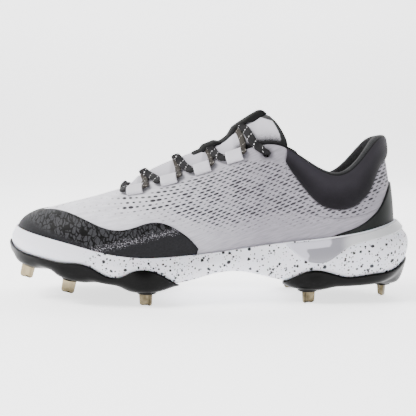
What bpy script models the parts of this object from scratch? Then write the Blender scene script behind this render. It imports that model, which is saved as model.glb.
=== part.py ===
"""Low-cut baseball shoe with metal spikes, for the left foot, standing empty on its spikes.

Metres, +Z up, toe towards -X, outer (lateral) side towards -Y, the spike tips on Z = 0.
Every large piece is a sheet of points on one of three forms, thickened to its real wall: the
upper's ribs, which rise from the foot's edge to the opening, the sole's side, and the tongue.
"""

import math

import bpy
import numpy as np

MM = 0.001

# Main sizes
LENGTH = 302 * MM
BALL_WIDTH = 101.5 * MM
SPIKE_LENGTH = 9.5 * MM
TOE_HEIGHT = 71 * MM
INSTEP_HEIGHT = 104 * MM
HEEL_HEIGHT = 111 * MM
TONGUE_HEIGHT = 130 * MM

# Sole: heights above the plane where the ball and heel spikes are seated
FOREFOOT_STACK = 18 * MM
HEEL_STACK = 28.5 * MM
TOE_SPRING = 15 * MM
ARCH_RISE = 8 * MM
RIM_HEIGHT = 8 * MM
HEEL_RIM_RISE = 12.5 * MM
HEEL_END_RADIUS = 30 * MM
TOE_END_RADIUS = 31 * MM
RIM_WALL = 2.2 * MM
SIDE_TUCK = 8 * MM
UNDER_INSET = 16 * MM
PLATE_THICKNESS = 2.6 * MM
PLATE_GAP = 1.15 * MM
PLATE_EDGE = 1.0 * MM
LOBE_RADIUS = 24 * MM
BOSS_RADIUS = 6.8 * MM
BOSS_FLARE = 1.2 * MM
CLIP_THICKNESS = 1.1 * MM

# Upper
UPPER_WALL = 2.4 * MM
LASTING_MARGIN = 9 * MM
HEEL_INSET = 14 * MM
SIDE_INSET = 7 * MM
TOE_INSET = 5.5 * MM
OVERLAY_THICKNESS = 1.0 * MM
COLLAR_PADDING = 7 * MM
COLLAR_PUFF = 2.6 * MM
COLLAR_EDGE = 2.2 * MM
INSOLE_THICKNESS = 4 * MM
TONGUE_THICKNESS = 4.5 * MM
TONGUE_EDGE = 2.5 * MM
TONGUE_CLEARANCE = 2.3 * MM
PANEL_HEIGHT = 5.2 * MM
PANEL_SKIN = 0.9 * MM
TUNNEL_HALF_LENGTH = 4.9 * MM
PANEL_HALF_WIDTH = 7 * MM

# Lacing
LOOP_LENGTH = 12 * MM
LOOP_WIDTH = 10.6 * MM
LOOP_BORE = 3.1 * MM
LOOP_WALL = 0.8 * MM
LACE_WIDTH = 4.4 * MM
LACE_HEIGHT = 2.0 * MM
LACE_CLEARANCE = 0.7 * MM
LOOP_SEAT = 0.66 * MM
EYELET_RADIUS = 2.9 * MM

# Spikes
SPIKE_WIDTH = 10 * MM
SPIKE_ROOT = 3.4 * MM
SPIKE_TIP = 1.8 * MM
SPIKE_BEND = 1.2 * MM

GAP = 0.3 * MM
HEEL_X = LENGTH / 2

# How finely the forms are read
AROUND_COLUMNS = 66
PLATE_COLUMNS = 50
CROSS_COLUMNS = 6

# Outline of the sole. Shares of LENGTH from the heel and of BALL_WIDTH from the centre line.
#   station, lateral half, medial half, centre's shift to the medial side
OUTLINE = [
    (0.066, 0.310, 0.305, 0.000),
    (0.132, 0.369, 0.360, 0.000),
    (0.248, 0.379, 0.360, 0.000),
    (0.364, 0.365, 0.340, -0.005),
    (0.464, 0.374, 0.335, -0.010),
    (0.563, 0.424, 0.374, -0.010),
    (0.662, 0.498, 0.438, 0.005),
    (0.745, 0.522, 0.478, 0.025),
    (0.811, 0.498, 0.473, 0.045),
    (0.878, 0.448, 0.414, 0.070),
    (0.944, 0.325, 0.296, 0.092),
    (1.000, None, None, 0.118),
]

# Lengthwise lines of the sole, each a share of the size named above it.
#   station, drop (HEEL_STACK over FOREFOOT_STACK), spring (TOE_SPRING), under (FOREFOOT_STACK),
#   arch (ARCH_RISE), rim (RIM_HEIGHT), heel rim (HEEL_RIM_RISE)
SOLE_LINES = [
    (0.00, 1.10, 0.00, 0.90, 0.00, 1.00, 1.00),
    (0.05, 1.04, 0.00, 0.52, 0.00, 1.00, 0.86),
    (0.12, 0.96, 0.00, 0.34, 0.00, 1.05, 0.50),
    (0.25, 0.90, 0.00, 0.28, 0.00, 1.10, 0.10),
    (0.33, 0.75, 0.00, 0.36, 0.05, 1.15, 0.00),
    (0.43, 0.50, 0.00, 0.42, 0.70, 1.15, 0.00),
    (0.48, 0.36, 0.00, 0.38, 0.62, 1.10, 0.00),
    (0.56, 0.12, 0.00, 0.30, 0.05, 1.05, 0.00),
    (0.65, 0.00, 0.02, 0.38, 0.00, 1.00, 0.00),
    (0.74, 0.00, 0.14, 0.54, 0.00, 1.05, 0.00),
    (0.82, 0.00, 0.40, 0.80, 0.00, 1.15, 0.00),
    (0.90, 0.00, 0.72, 1.04, 0.00, 1.15, 0.00),
    (0.97, 0.00, 0.97, 1.20, 0.00, 1.15, 0.00),
    (1.00, 0.00, 1.06, 1.36, 0.00, 1.20, 0.00),
]

# The sole's side, from the rim's outer edge round the bottom edge to the underside.
#   share of the height dropped, reach from the rim to the outline, inset over SIDE_TUCK
SIDE = [
    (0.20, 0.55, 0.00),
    (0.46, 0.97, 0.00),
    (0.78, 1.00, 0.22),
    (0.96, 1.00, 0.75),
]

# Ribs of the upper, half of it, by the angle round the foot's edge from the heel.
#   angle, top edge: station, half width, medial extra height, height and its size,
#   bottom lean and handle, top lean and handle (degrees, and shares of INSTEP_HEIGHT)
RIBS = [
    (0, 0.071, 0.000, 0.00, 1.007, "heel", 10, 0.235, 10, 0.25),
    (20, 0.099, 0.172, -0.01, 0.980, "heel", 10, 0.24, 10, 0.23),
    (40, 0.160, 0.286, -0.02, 0.805, "heel", 11, 0.225, 8, 0.19),
    (60, 0.232, 0.322, -0.02, 0.787, "heel", 12, 0.21, 8, 0.19),
    (75, 0.300, 0.306, -0.01, 0.900, "heel", 12, 0.22, 14, 0.22),
    (90, 0.364, 0.258, 0.00, 1.008, "instep", 11, 0.24, 30, 0.25),
    (105, 0.452, 0.188, 0.00, 0.930, "instep", 10, 0.23, 50, 0.23),
    (120, 0.538, 0.155, 0.00, 0.838, "instep", 11, 0.21, 57, 0.24),
    (135, 0.620, 0.130, 0.00, 0.762, "instep", 12, 0.20, 61, 0.26),
    (150, 0.682, 0.095, 0.00, 0.712, "instep", 12, 0.205, 65, 0.32),
    (165, 0.717, 0.052, 0.00, 0.996, "toe", 11, 0.22, 69, 0.42),
    (180, 0.728, 0.000, 0.00, 1.000, "toe", 10, 0.235, 72, 0.48),
]

# Section of the collar's padding, from its seam over the rolled top edge.
#   share of the way up, swell outwards over COLLAR_PUFF, thickness over COLLAR_PADDING
COLLAR_SECTION = [
    (0.00, 0.00, 0.32),
    (0.12, 0.45, 0.62),
    (0.30, 0.85, 0.90),
    (0.52, 1.00, 1.00),
    (0.72, 1.00, 1.00),
    (0.87, 0.90, 0.93),
    (0.96, 0.45, 0.74),
    (1.00, -0.35, 0.46),
]

# Lines drawn on the upper and the sole, in the side view.
#   station, height as a share of INSTEP_HEIGHT
COLLAR_SEAM = [
    (0.050, 0.925),
    (0.075, 0.875),
    (0.088, 0.835),
    (0.101, 0.760),
    (0.115, 0.682),
    (0.131, 0.629),
    (0.149, 0.587),
    (0.171, 0.563),
    (0.192, 0.558),
    (0.213, 0.566),
    (0.235, 0.592),
    (0.254, 0.637),
    (0.273, 0.700),
    (0.294, 0.779),
    (0.311, 0.850),
    (0.330, 0.950),
]
COLLAR_FRONT_ANGLE = 78.5
COLLAR_COLUMNS = 29
CAP_LINE = [
    (0.510, 0.245),
    (0.540, 0.355),
    (0.570, 0.425),
    (0.605, 0.472),
    (0.640, 0.472),
    (0.675, 0.440),
    (0.710, 0.424),
    (0.745, 0.440),
    (0.790, 0.490),
    (0.840, 0.533),
    (0.880, 0.540),
    (0.920, 0.528),
]
CAP_END_ANGLE = 93
COUNTER_LINE = [
    (0.040, 0.770),
    (0.060, 0.712),
    (0.080, 0.610),
    (0.110, 0.510),
    (0.150, 0.435),
    (0.200, 0.375),
    (0.220, 0.335),
]
COUNTER_END_ANGLE = 48
# The forefoot and heel plates' edges on the side, and the clip's lower edge.
#   station, share of the side's height from the rim (0) to the underside (1)
FORE_EDGE = [
    (0.562, 0.85),
    (0.590, 0.64),
    (0.620, 0.46),
    (0.645, 0.40),
    (0.675, 0.47),
    (0.705, 0.66),
    (0.735, 0.66),
    (0.765, 0.52),
    (0.795, 0.48),
    (0.840, 0.58),
    (0.900, 0.60),
    (0.960, 0.58),
    (1.000, 0.52),
]
HEEL_EDGE = [
    (0.000, 0.74),
    (0.050, 0.74),
    (0.120, 0.72),
    (0.170, 0.73),
    (0.220, 0.63),
    (0.255, 0.60),
    (0.290, 0.68),
    (0.325, 0.85),
]
CLIP_EDGE = [
    (0.000, 0.17),
    (0.060, 0.18),
    (0.130, 0.18),
    (0.175, 0.26),
    (0.215, 0.46),
    (0.250, 0.48),
    (0.280, 0.38),
    (0.314, 0.05),
]
FORE_PLATE_HALF_TURN = 82.5
HEEL_PLATE_HALF_TURN = 69
CLIP_END_ANGLE = 68.5

# Spikes and the bosses that hold them.
#   name, station, side as a share of BALL_WIDTH, seat's height as a share of FOREFOOT_STACK,
#   tilt towards the toe, turn about its own length (degrees), boss over BOSS_RADIUS
SPIKES = [
    ("toe_lateral", 0.938, -0.148, 0.890, 14, 8, 0.78),
    ("toe_medial", 0.935, 0.266, 0.890, 14, -8, 0.78),
    ("fore_lateral", 0.825, -0.355, 0.470, 12, 12, 0.90),
    ("fore_medial", 0.825, 0.404, 0.470, 12, -12, 0.90),
    ("ball_lateral", 0.644, -0.394, 0.0, 0, 24, 1.0),
    ("ball_medial", 0.686, 0.394, 0.0, 0, -24, 1.0),
    ("heel_lateral", 0.262, -0.293, 0.0, 0, -26, 1.0),
    ("heel_medial", 0.281, 0.280, 0.0, 0, 26, 1.0),
    ("heel_back", 0.062, -0.020, 0.0, 0, 90, 0.90),
]

# Rows of the tongue from under the vamp to its top. Where the sides have no width of their own,
# they lie inside the upper, beside the throat.
#   ridge: station, height; side: station, half width, height
#   heights are shares of TONGUE_HEIGHT, widths of BALL_WIDTH
TONGUE = [
    (0.752, 0.490, 0.752, 0.080, 0.470),
    (0.722, 0.510, 0.712, None, None),
    (0.695, 0.578, 0.682, None, None),
    (0.640, 0.652, 0.630, None, None),
    (0.592, 0.702, 0.575, None, None),
    (0.545, 0.742, 0.515, None, None),
    (0.500, 0.778, 0.450, None, None),
    (0.465, 0.818, 0.400, None, None),
    (0.435, 0.872, 0.345, 0.210, 0.740),
    (0.405, 0.920, 0.310, 0.208, 0.790),
    (0.378, 0.956, 0.310, 0.190, 0.872),
    (0.360, 0.974, 0.326, 0.130, 0.945),
]
TONGUE_TUCK = 0.10
PANEL_START = 0.455

# Lace loops beside the throat, and the hole above them.
#   station, distance below the throat's edge as a share of the rib
LOOPS = [
    (0.672, 0.165),
    (0.591, 0.120),
    (0.512, 0.085),
    (0.435, 0.060),
]
EYELET = (0.362, 0.100)

COLOURS = {
    "grey_knit": ((0.52, 0.51, 0.54), 0.85, 0.0),
    "black_print": ((0.035, 0.035, 0.04), 0.55, 0.0),
    "black_padding": ((0.045, 0.042, 0.05), 0.9, 0.0),
    "white_foam": ((0.80, 0.80, 0.83), 0.6, 0.0),
    "black_plate": ((0.012, 0.012, 0.013), 0.35, 0.0),
    "grey_clip": ((0.42, 0.42, 0.44), 0.35, 0.0),
    "lining": ((0.10, 0.10, 0.11), 0.95, 0.0),
    "black_lace": ((0.02, 0.02, 0.022), 0.8, 0.0),
    "spike_steel": ((0.62, 0.58, 0.50), 0.28, 1.0),
}


def clear_scene():
    for old in list(bpy.data.objects):
        bpy.data.objects.remove(old, do_unlink=True)


def spline(knots, values, at):
    """Natural cubic spline through (knots, values), read at `at`."""
    x = np.asarray(knots, float)
    y = np.asarray(values, float)
    order = np.argsort(x)
    x, y = x[order], y[order]
    step = np.diff(x)
    count = len(x)
    system = np.eye(count)
    slopes = np.zeros(count)
    for i in range(1, count - 1):
        system[i, i - 1 : i + 2] = step[i - 1], 2 * (step[i - 1] + step[i]), step[i]
        slopes[i] = 6 * ((y[i + 1] - y[i]) / step[i] - (y[i] - y[i - 1]) / step[i - 1])
    bend = np.linalg.solve(system, slopes)
    at = np.clip(np.asarray(at, float), x[0], x[-1])
    i = np.clip(np.searchsorted(x, at) - 1, 0, count - 2)
    h = step[i]
    a, b = (x[i + 1] - at) / h, (at - x[i]) / h
    cubic = ((a**3 - a) * bend[i] + (b**3 - b) * bend[i + 1]) * h**2 / 6
    return a * y[i] + b * y[i + 1] + cubic


def column(rows, index):
    return [row[index] for row in rows]


def read(rows, index, at):
    return spline(column(rows, 0), column(rows, index), at)


def station_of(x):
    return (HEEL_X - x) / LENGTH


def x_of(station):
    return HEEL_X - station * LENGTH


def lift(height):
    """A height above the spikes' seats as a height above the floor."""
    return SPIKE_LENGTH + height


def smooth(t):
    t = np.clip(t, 0, 1)
    return t * t * (3 - 2 * t)


def halves(side):
    """The outline's widths divided by the round of its ends, for one side of the sole."""
    rows = [row for row in OUTLINE if row[side] is not None]
    stations = [0.0] + column(rows, 0) + [1.0]
    ends = [math.sqrt(radius * LENGTH / 2) for radius in (HEEL_END_RADIUS, TOE_END_RADIUS)]
    widths = [row[side] * BALL_WIDTH / (2 * math.sqrt(row[0] * (1 - row[0]))) for row in rows]
    return stations, [ends[0]] + widths + [ends[1]]


LATERAL, MEDIAL = halves(1), halves(2)
CENTRE = ([0.0] + column(OUTLINE, 0), [0.0] + column(OUTLINE, 3))


def raw_outline(angle):
    """The sole's widest line in plan. The angle runs from the heel by the lateral side."""
    station = (1 - np.cos(angle)) / 2
    lateral = spline(*LATERAL, station)
    medial = spline(*MEDIAL, station)
    half = np.where(np.sin(angle) >= 0, lateral, medial)
    centre = spline(*CENTRE, station) * BALL_WIDTH
    return x_of(station), centre - np.sin(angle) * half


def middle_of_width():
    across = raw_outline(np.linspace(0, 2 * math.pi, 721))[1]
    return (across.min() + across.max()) / 2


SIDE_SHIFT = middle_of_width()


def outline(angle, inset=0.0):
    """Plan points of the outline moved inwards by `inset`, and the outward normals."""
    small = 1e-3
    x, y = raw_outline(angle)
    x0, y0 = raw_outline(angle - small)
    x1, y1 = raw_outline(angle + small)
    along = np.stack([x1 - x0, y1 - y0], -1)
    along /= np.linalg.norm(along, axis=-1, keepdims=True)
    normal = np.stack([-along[..., 1], along[..., 0]], -1)
    points = np.stack([x, y - SIDE_SHIFT], -1)
    return points - normal * np.asarray(inset)[..., None], normal


def centre_line(station):
    return spline(*CENTRE, station) * BALL_WIDTH - SIDE_SHIFT


def bed_height(station):
    """The top of the sole under the foot."""
    drop = read(SOLE_LINES, 1, station) * (HEEL_STACK - FOREFOOT_STACK)
    return lift(FOREFOOT_STACK + drop + read(SOLE_LINES, 2, station) * TOE_SPRING)


def under_height(station):
    """The underside of the midsole."""
    arch = read(SOLE_LINES, 4, station) * ARCH_RISE
    return lift(read(SOLE_LINES, 3, station) * FOREFOOT_STACK + arch)


def rim_height(station):
    rise = read(SOLE_LINES, 5, station) * RIM_HEIGHT
    return bed_height(station) + rise + read(SOLE_LINES, 6, station) * HEEL_RIM_RISE


def folded(angle):
    """The angle from the heel, 0 to 180 degrees, on either side."""
    degrees = np.degrees(angle) % 360
    return np.minimum(degrees, 360 - degrees)


def is_medial(angle):
    return np.degrees(angle) % 360 > 180


def foot_inset(angle):
    degrees = folded(angle)
    rear = HEEL_INSET + (SIDE_INSET - HEEL_INSET) * smooth(degrees / 45)
    return rear + (TOE_INSET - SIDE_INSET) * smooth((degrees - 120) / 50)


def rib_column(index, angle, odd=False):
    """A column of RIBS as a smooth closed curve of the angle; odd ones change sign across."""
    sign = -1 if odd else 1
    turn = column(RIBS, 0)
    values = [row[index] if not isinstance(index, str) else None for row in RIBS]
    back = [-a for a in turn[1:4]][::-1]
    ahead = [360 - a for a in turn[-4:-1]][::-1]
    knots = back + turn + ahead
    held = [sign * v for v in values[1:4]][::-1] + values + [sign * v for v in values[-4:-1]][::-1]
    return spline(knots, held, folded(angle))


def rib_heights():
    sizes = {"heel": HEEL_HEIGHT, "instep": INSTEP_HEIGHT, "toe": TOE_HEIGHT}
    return [row[:4] + (row[4] * sizes[row[5]],) + row[5:] for row in RIBS]


RIBS = rib_heights()


def rib(angle, share):
    """A point of the upper's outer face: a cubic from the foot's edge up to the opening."""
    angle, share = np.broadcast_arrays(angle, share)
    side = np.where(is_medial(angle), 1.0, -1.0)
    foot, normal = outline(angle, foot_inset(angle))
    foot_z = bed_height(station_of(foot[..., 0])) + GAP
    top_station = rib_column(1, angle)
    top_x = x_of(top_station)
    half = rib_column(2, angle, odd=True) * BALL_WIDTH
    top_y = centre_line(top_station) + side * half
    extra = np.where(side > 0, rib_column(3, angle), 0) * INSTEP_HEIGHT
    top_z = lift(rib_column(4, angle)) + extra
    ends = [np.stack([foot[..., 0], foot[..., 1], foot_z], -1), np.stack([top_x, top_y, top_z], -1)]
    handles = []
    for lean_index, handle_index, way in ((6, 7, 1), (8, 9, -1)):
        lean = np.radians(rib_column(lean_index, angle))
        length = rib_column(handle_index, angle) * INSTEP_HEIGHT
        out = np.sin(lean) * length
        up = np.cos(lean) * length * way
        handles.append(np.concatenate([normal * out[..., None], up[..., None]], -1))
    points = [ends[0], ends[0] + handles[0], ends[1] + handles[1], ends[1]]
    t = share[..., None]
    weights = [(1 - t) ** 3, 3 * t * (1 - t) ** 2, 3 * t * t * (1 - t), t**3]
    return sum(w * p for w, p in zip(weights, points))


def normals(surface, a, b):
    """Unit normals of surface(a, b) by small differences, pointing out of the shoe."""
    small = 1e-3
    a, b = np.broadcast_arrays(a, b)
    across = surface(a + small, b) - surface(a - small, b)
    up = surface(a, np.minimum(b + small, 1)) - surface(a, np.maximum(b - small, 0))
    found = np.cross(up, across)
    return found / np.linalg.norm(found, axis=-1, keepdims=True)


def rib_offset(angle, share, distance):
    angle, share = np.broadcast_arrays(angle, share)
    distance = np.asarray(distance)
    return rib(angle, share) + normals(rib, angle, share) * distance[..., None]


def meet(angle, line):
    """The share of each rib at which it crosses a height given by its x."""
    shares = np.linspace(0, 1, 241)
    points = rib(angle[None, :], shares[:, None])
    above = points[..., 2] - line(points[..., 0])
    found = np.ones(len(angle))
    for i in range(len(angle)):
        crossing = np.nonzero((above[:-1, i] < 0) & (above[1:, i] >= 0))[0]
        if above[0, i] >= 0:
            found[i] = 0
        elif len(crossing):
            k = crossing[0]
            part = above[k, i] / (above[k, i] - above[k + 1, i])
            found[i] = shares[k] + part * (shares[1] - shares[0])
    return found


def side_line(rows):
    return lambda x: lift(read(rows, 1, station_of(x)) * INSTEP_HEIGHT)


def rim_share(angle):
    return meet(angle, lambda x: rim_height(station_of(x)))


def sole_side(angle, share):
    """The midsole's outer side: 0 at the rim's outer edge, 1 under the sole."""
    angle, share = np.broadcast_arrays(angle, share)
    flat = angle.ravel()
    rim = RIM_EDGE(flat)
    outer, normal = outline(flat)
    station = station_of(outer[:, 0])
    inner = outline(flat, np.full(flat.shape, UNDER_INSET))[0]
    bottom = under_height(station_of(inner[:, 0]))
    edge_bottom = under_height(station)
    height = rim[:, 2] - edge_bottom
    knots = [0.0, 0.2, 0.45, 0.68, 0.85, 1.0]
    rows = [rim]
    for drop, reach, tuck in SIDE:
        plan = rim[:, :2] + (outer - rim[:, :2]) * reach - normal * tuck * SIDE_TUCK
        rows.append(np.concatenate([plan, (rim[:, 2] - drop * height)[:, None]], -1))
    rows.append(np.concatenate([inner, bottom[:, None]], -1))
    stacked = np.array(rows)
    wanted = share.ravel()
    result = np.zeros((len(flat), 3))
    basis = np.array([spline(knots, row, wanted) for row in np.eye(len(knots))])
    for i in range(len(knots)):
        result += basis[i][:, None] * stacked[i]
    return result.reshape(angle.shape + (3,))


def make_rim():
    """The rim's outer edge, read from a fine closed table so that it can be read anywhere."""
    table = np.linspace(0, 2 * math.pi, 361)
    shares = rim_share(table[:-1])
    inner = rib_offset(table[:-1], shares, np.full(360, GAP + RIM_WALL))
    rows = np.vstack([inner, inner[:1]])

    def at(angle):
        turned = np.mod(angle, 2 * math.pi)
        return np.stack([np.interp(turned, table, rows[:, k]) for k in range(3)], -1)

    return at


RIM_EDGE = make_rim()


def side_offset(angle, share, distance):
    angle, share = np.broadcast_arrays(angle, share)
    distance = np.broadcast_to(distance, angle.shape)
    return sole_side(angle, share) - normals(sole_side, angle, share) * distance[..., None]


def grid_faces(rows, columns, wrap=False, start=0):
    """Quads between the rows of a grid of points numbered row by row."""
    faces = []
    for r in range(rows - 1):
        for c in range(columns if wrap else columns - 1):
            d = (c + 1) % columns
            low, high = start + r * columns, start + (r + 1) * columns
            faces.append((low + c, low + d, high + d, high + c))
    return faces


def filled(ring, closed, cross, lower=None):
    """Points and faces that fill a ring with rungs from each point to its mirror.

    ring is a list of (number, point). An open ring runs from one end by the tip to the other;
    a closed one starts at one tip and has the other opposite. lower moves a rung's points.
    """
    count = len(ring)
    if closed:
        left = ring[1 : count // 2]
        right = ring[count // 2 + 1 :][::-1]
        tips = [ring[0], ring[count // 2]]
    else:
        left = ring[: count // 2]
        right = ring[count // 2 + 1 :][::-1]
        tips = [None, ring[count // 2]]
    rungs, points, number = [], [], 0
    for j, ((a, start), (b, end)) in enumerate(zip(left, right)):
        rung = [("ring", a)]
        for k in range(1, cross):
            f = k / cross
            point = start * (1 - f) + end * f
            if lower is not None:
                point = lower(point, f, j)
            points.append(point)
            rung.append(("new", number))
            number += 1
        rungs.append(rung + [("ring", b)])
    faces = []
    for low, high in zip(rungs, rungs[1:]):
        for k in range(cross):
            faces.append((low[k], high[k], high[k + 1], low[k + 1]))
    for tip, rung, first in ((tips[0], rungs[0], True), (tips[1], rungs[-1], False)):
        if tip is None:
            continue
        for k in range(cross):
            pair = (rung[k], rung[k + 1]) if first else (rung[k + 1], rung[k])
            faces.append((("ring", tip[0]),) + pair)
    return points, faces


def disc_sheet(grid, wrap, cross, lower=None):
    """A sheet made of the grid's rows with its last row filled. Returns points and faces."""
    rows, columns = grid.shape[:2]
    points = list(grid.reshape(-1, 3))
    faces = grid_faces(rows, columns, wrap)
    first = (rows - 1) * columns
    ring = [(first + c, grid[-1, c]) for c in range(columns)]
    new, fill = filled(ring, wrap, cross, lower)
    base = len(points)
    for face in fill:
        faces.append(tuple(n if kind == "ring" else base + n for kind, n in face))
    return np.array(points + new), faces


def add_material(obj, name):
    found = bpy.data.materials.get(name)
    if found is None:
        colour, roughness, metallic = COLOURS[name]
        found = bpy.data.materials.new(name)
        found.use_nodes = True
        shader = found.node_tree.nodes["Principled BSDF"]
        shader.inputs["Base Color"].default_value = (*colour, 1)
        shader.inputs["Roughness"].default_value = roughness
        shader.inputs["Metallic"].default_value = metallic
        found.diffuse_color = (*colour, 1)
    obj.data.materials.append(found)


def add_mesh(name, points, faces, material):
    """A mesh object of these faces, turned so that they point out."""
    points = np.asarray(points, float)
    volume = 0.0
    for face in faces:
        for k in range(1, len(face) - 1):
            a, b, c = points[face[0]], points[face[k]], points[face[k + 1]]
            volume += np.dot(a, np.cross(b, c))
    if volume < 0:
        faces = [tuple(reversed(face)) for face in faces]
    mesh = bpy.data.meshes.new(name)
    mesh.from_pydata([tuple(p) for p in points], [], [tuple(int(i) for i in f) for f in faces])
    mesh.update()
    mesh.shade_smooth()
    mesh.set_sharp_from_angle(angle=math.radians(40))
    obj = bpy.data.objects.new(name, mesh)
    bpy.context.scene.collection.objects.link(obj)
    add_material(obj, material)
    return obj


def thickened(name, outer, inner, faces, material):
    """A closed solid between two sheets that share their faces; open edges are bridged."""
    count = len(outer)
    used = set()
    for face in faces:
        used.update(zip(face, face[1:] + face[:1]))
    solid = list(faces) + [tuple(count + i for i in reversed(face)) for face in faces]
    for a, b in used:
        if (b, a) not in used:
            solid.append((b, a, count + a, count + b))
    return add_mesh(name, np.vstack([outer, inner]), solid, material)


def ring_angles(count):
    return np.arange(count) * 2 * math.pi / count


def on_plane(plan, height):
    """Plan points with the height that a function of the station gives each."""
    return np.concatenate([plan, height(station_of(plan[..., :1]))], -1)


def seat_ring(plan, rise):
    """Plan points at a rise above the bed."""
    return on_plane(plan, lambda at: bed_height(at) + rise)


def make_midsole():
    """Foam cup: its side and underside, with the bed and the inner face of the rim."""
    angle = ring_angles(AROUND_COLUMNS)
    shares = np.array([0.0, 0.16, 0.36, 0.56, 0.74, 0.86, 0.93, 1.0])
    outer, faces = disc_sheet(sole_side(angle[None, :], shares[:, None]), True, CROSS_COLUMNS)
    rim = rim_share(angle)
    rows = [
        rib_offset(angle, rim * level, np.full(AROUND_COLUMNS, 1.6 * GAP))
        for level in (1, 0.78, 0.55, 0.33, 0.12)
    ]
    for extra in (-1.2 * GAP, 3 * MM, UNDER_INSET - SIDE_INSET):
        rows.append(seat_ring(outline(angle, foot_inset(angle) + extra)[0], -GAP))
    inner, _ = disc_sheet(np.array(rows), True, CROSS_COLUMNS, lambda p, *_: seat_ring(p[:2], -GAP))
    thickened("midsole", outer, inner, faces, "white_foam")


def lobe_depth(plan):
    """How far the plate swells down towards the nearest spike's seat."""
    depth = np.zeros(len(plan))
    for _name, station, side, seat, *_ in SPIKES:
        centre = np.array([x_of(station), side * BALL_WIDTH])
        room = under_height(station) - GAP - PLATE_THICKNESS - lift(seat * FOREFOOT_STACK)
        bell = 1 - smooth(np.linalg.norm(plan - centre, axis=1) / LOBE_RADIUS)
        depth = np.maximum(depth, bell * max(room - 0.8 * MM, 0))
    return depth


def make_plate(name, centre, half_turn, edge_rows, bow):
    """Hard plate under one end of the sole, with its waved edge climbing the foam's side."""
    turn = np.linspace(-1, 1, PLATE_COLUMNS + 1)
    angle = centre + np.sign(turn) * np.abs(turn) ** 0.85 * math.radians(half_turn)
    edge = read(edge_rows, 1, station_of(outline(angle)[0][:, 0]))[None, :]
    levels = np.linspace(0, 1, 5)[:, None]
    bottom = np.array([0.0, 0.74, 0.86, 0.93, 1.0])[:, None]
    shares = np.maximum(bottom, edge + (1 - edge) * levels)
    fade = smooth((1 - np.abs(turn)) * 7)[None, :]
    thick = PLATE_EDGE + (PLATE_THICKNESS - PLATE_EDGE) * smooth(levels * 1.8) * fade

    def hung(drop):
        def lower(point, share, rung):
            point[0] += bow * smooth(1 - rung / 5) * (1 - (2 * share - 1) ** 2)
            thin = drop if rung else PLATE_GAP + (drop - PLATE_GAP) * 0.5
            return on_plane(point[:2], lambda at: under_height(at) - thin)

        return lower

    near = side_offset(angle[None, :], shares, PLATE_GAP)
    far = side_offset(angle[None, :], shares, PLATE_GAP + thick)
    near[-1] = on_plane(near[-1, :, :2], lambda at: under_height(at) - PLATE_GAP)
    far[-1] = on_plane(far[-1, :, :2], under_height)
    far[-1, :, 2] -= PLATE_GAP + thick[-1]
    inner, faces = disc_sheet(near, False, 4, hung(PLATE_GAP))
    outer, _ = disc_sheet(far, False, 4, hung(PLATE_GAP + PLATE_THICKNESS))
    below = (under_height(station_of(outer[:, 0])) + 10 * MM - outer[:, 2]) / (9 * MM)
    outer[:, 2] -= lobe_depth(outer[:, :2]) * smooth(below)
    return thickened(name, outer, inner, faces, "black_plate")


def spike_frame(station, side, seat, tilt):
    """Seat's centre and the three axes of a spike: ahead, across and down."""
    centre = np.array([x_of(station), side * BALL_WIDTH, lift(seat * FOREFOOT_STACK)])
    lean = math.radians(tilt)
    ahead = np.array([-math.cos(lean), 0.0, math.sin(lean)])
    down = np.array([-math.sin(lean), 0.0, -math.cos(lean)])
    return centre, ahead, np.array([0.0, 1.0, 0.0]), down


def add_bosses(plate, first, last):
    """Tapered studs on the plate, each with a flat end that a spike stands on."""
    turn = ring_angles(14)
    for name, station, side, seat, tilt, _turn, size in SPIKES:
        if not first <= station <= last:
            continue
        centre, ahead, across, down = spike_frame(station, side, seat, tilt)
        spoke = np.cos(turn)[:, None] * ahead + np.sin(turn)[:, None] * across
        deep = under_height(station) - PLATE_GAP - 0.6 * PLATE_THICKNESS - centre[2]
        radius = BOSS_RADIUS * size
        rows = [
            centre - down * deep + spoke * (radius + BOSS_FLARE),
            centre - down * 0.6 * MM + spoke * radius,
            centre + spoke * (radius - 0.6 * MM),
        ]
        faces = grid_faces(3, 14, wrap=True) + [tuple(range(14))[::-1], tuple(range(28, 42))]
        boss = add_mesh("boss_" + name, np.vstack(rows), faces, "black_plate")
        join(plate, boss, "UNION")


def join(target, other, operation):
    """Boolean of a piece with a guide that is left out of the model."""
    other.hide_render = True
    other.display_type = "WIRE"
    change = target.modifiers.new(other.name, "BOOLEAN")
    change.operation = operation
    change.object = other


def make_spikes():
    """Steel blades, a little bent across their width, thinner and rounded at the tip."""
    depths = np.array([0.0, 0.5, 0.86, 1.0])
    columns = np.linspace(-1, 1, 5)
    for name, station, side, seat, tilt, turn, _size in SPIKES:
        centre, ahead, across, down = spike_frame(station, side, seat, tilt)
        wide = math.cos(math.radians(turn)) * ahead + math.sin(math.radians(turn)) * across
        thick = np.cross(wide, down)
        near, far = [], []
        for depth in depths:
            cut = SPIKE_WIDTH / 2 * (1 - 0.06 * depth) - (1.5 * MM if depth == 1 else 0)
            half = (SPIKE_ROOT + (SPIKE_TIP - SPIKE_ROOT) * depth) / 2
            for c in columns:
                middle = centre + down * (GAP + depth * (SPIKE_LENGTH - GAP))
                middle = middle + wide * c * cut + thick * SPIKE_BEND * (c * c - 0.5)
                near.append(middle - thick * half)
                far.append(middle + thick * half)
        faces = grid_faces(len(depths), len(columns))
        thickened("spike_" + name, np.array(far), np.array(near), faces, "spike_steel")


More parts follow.
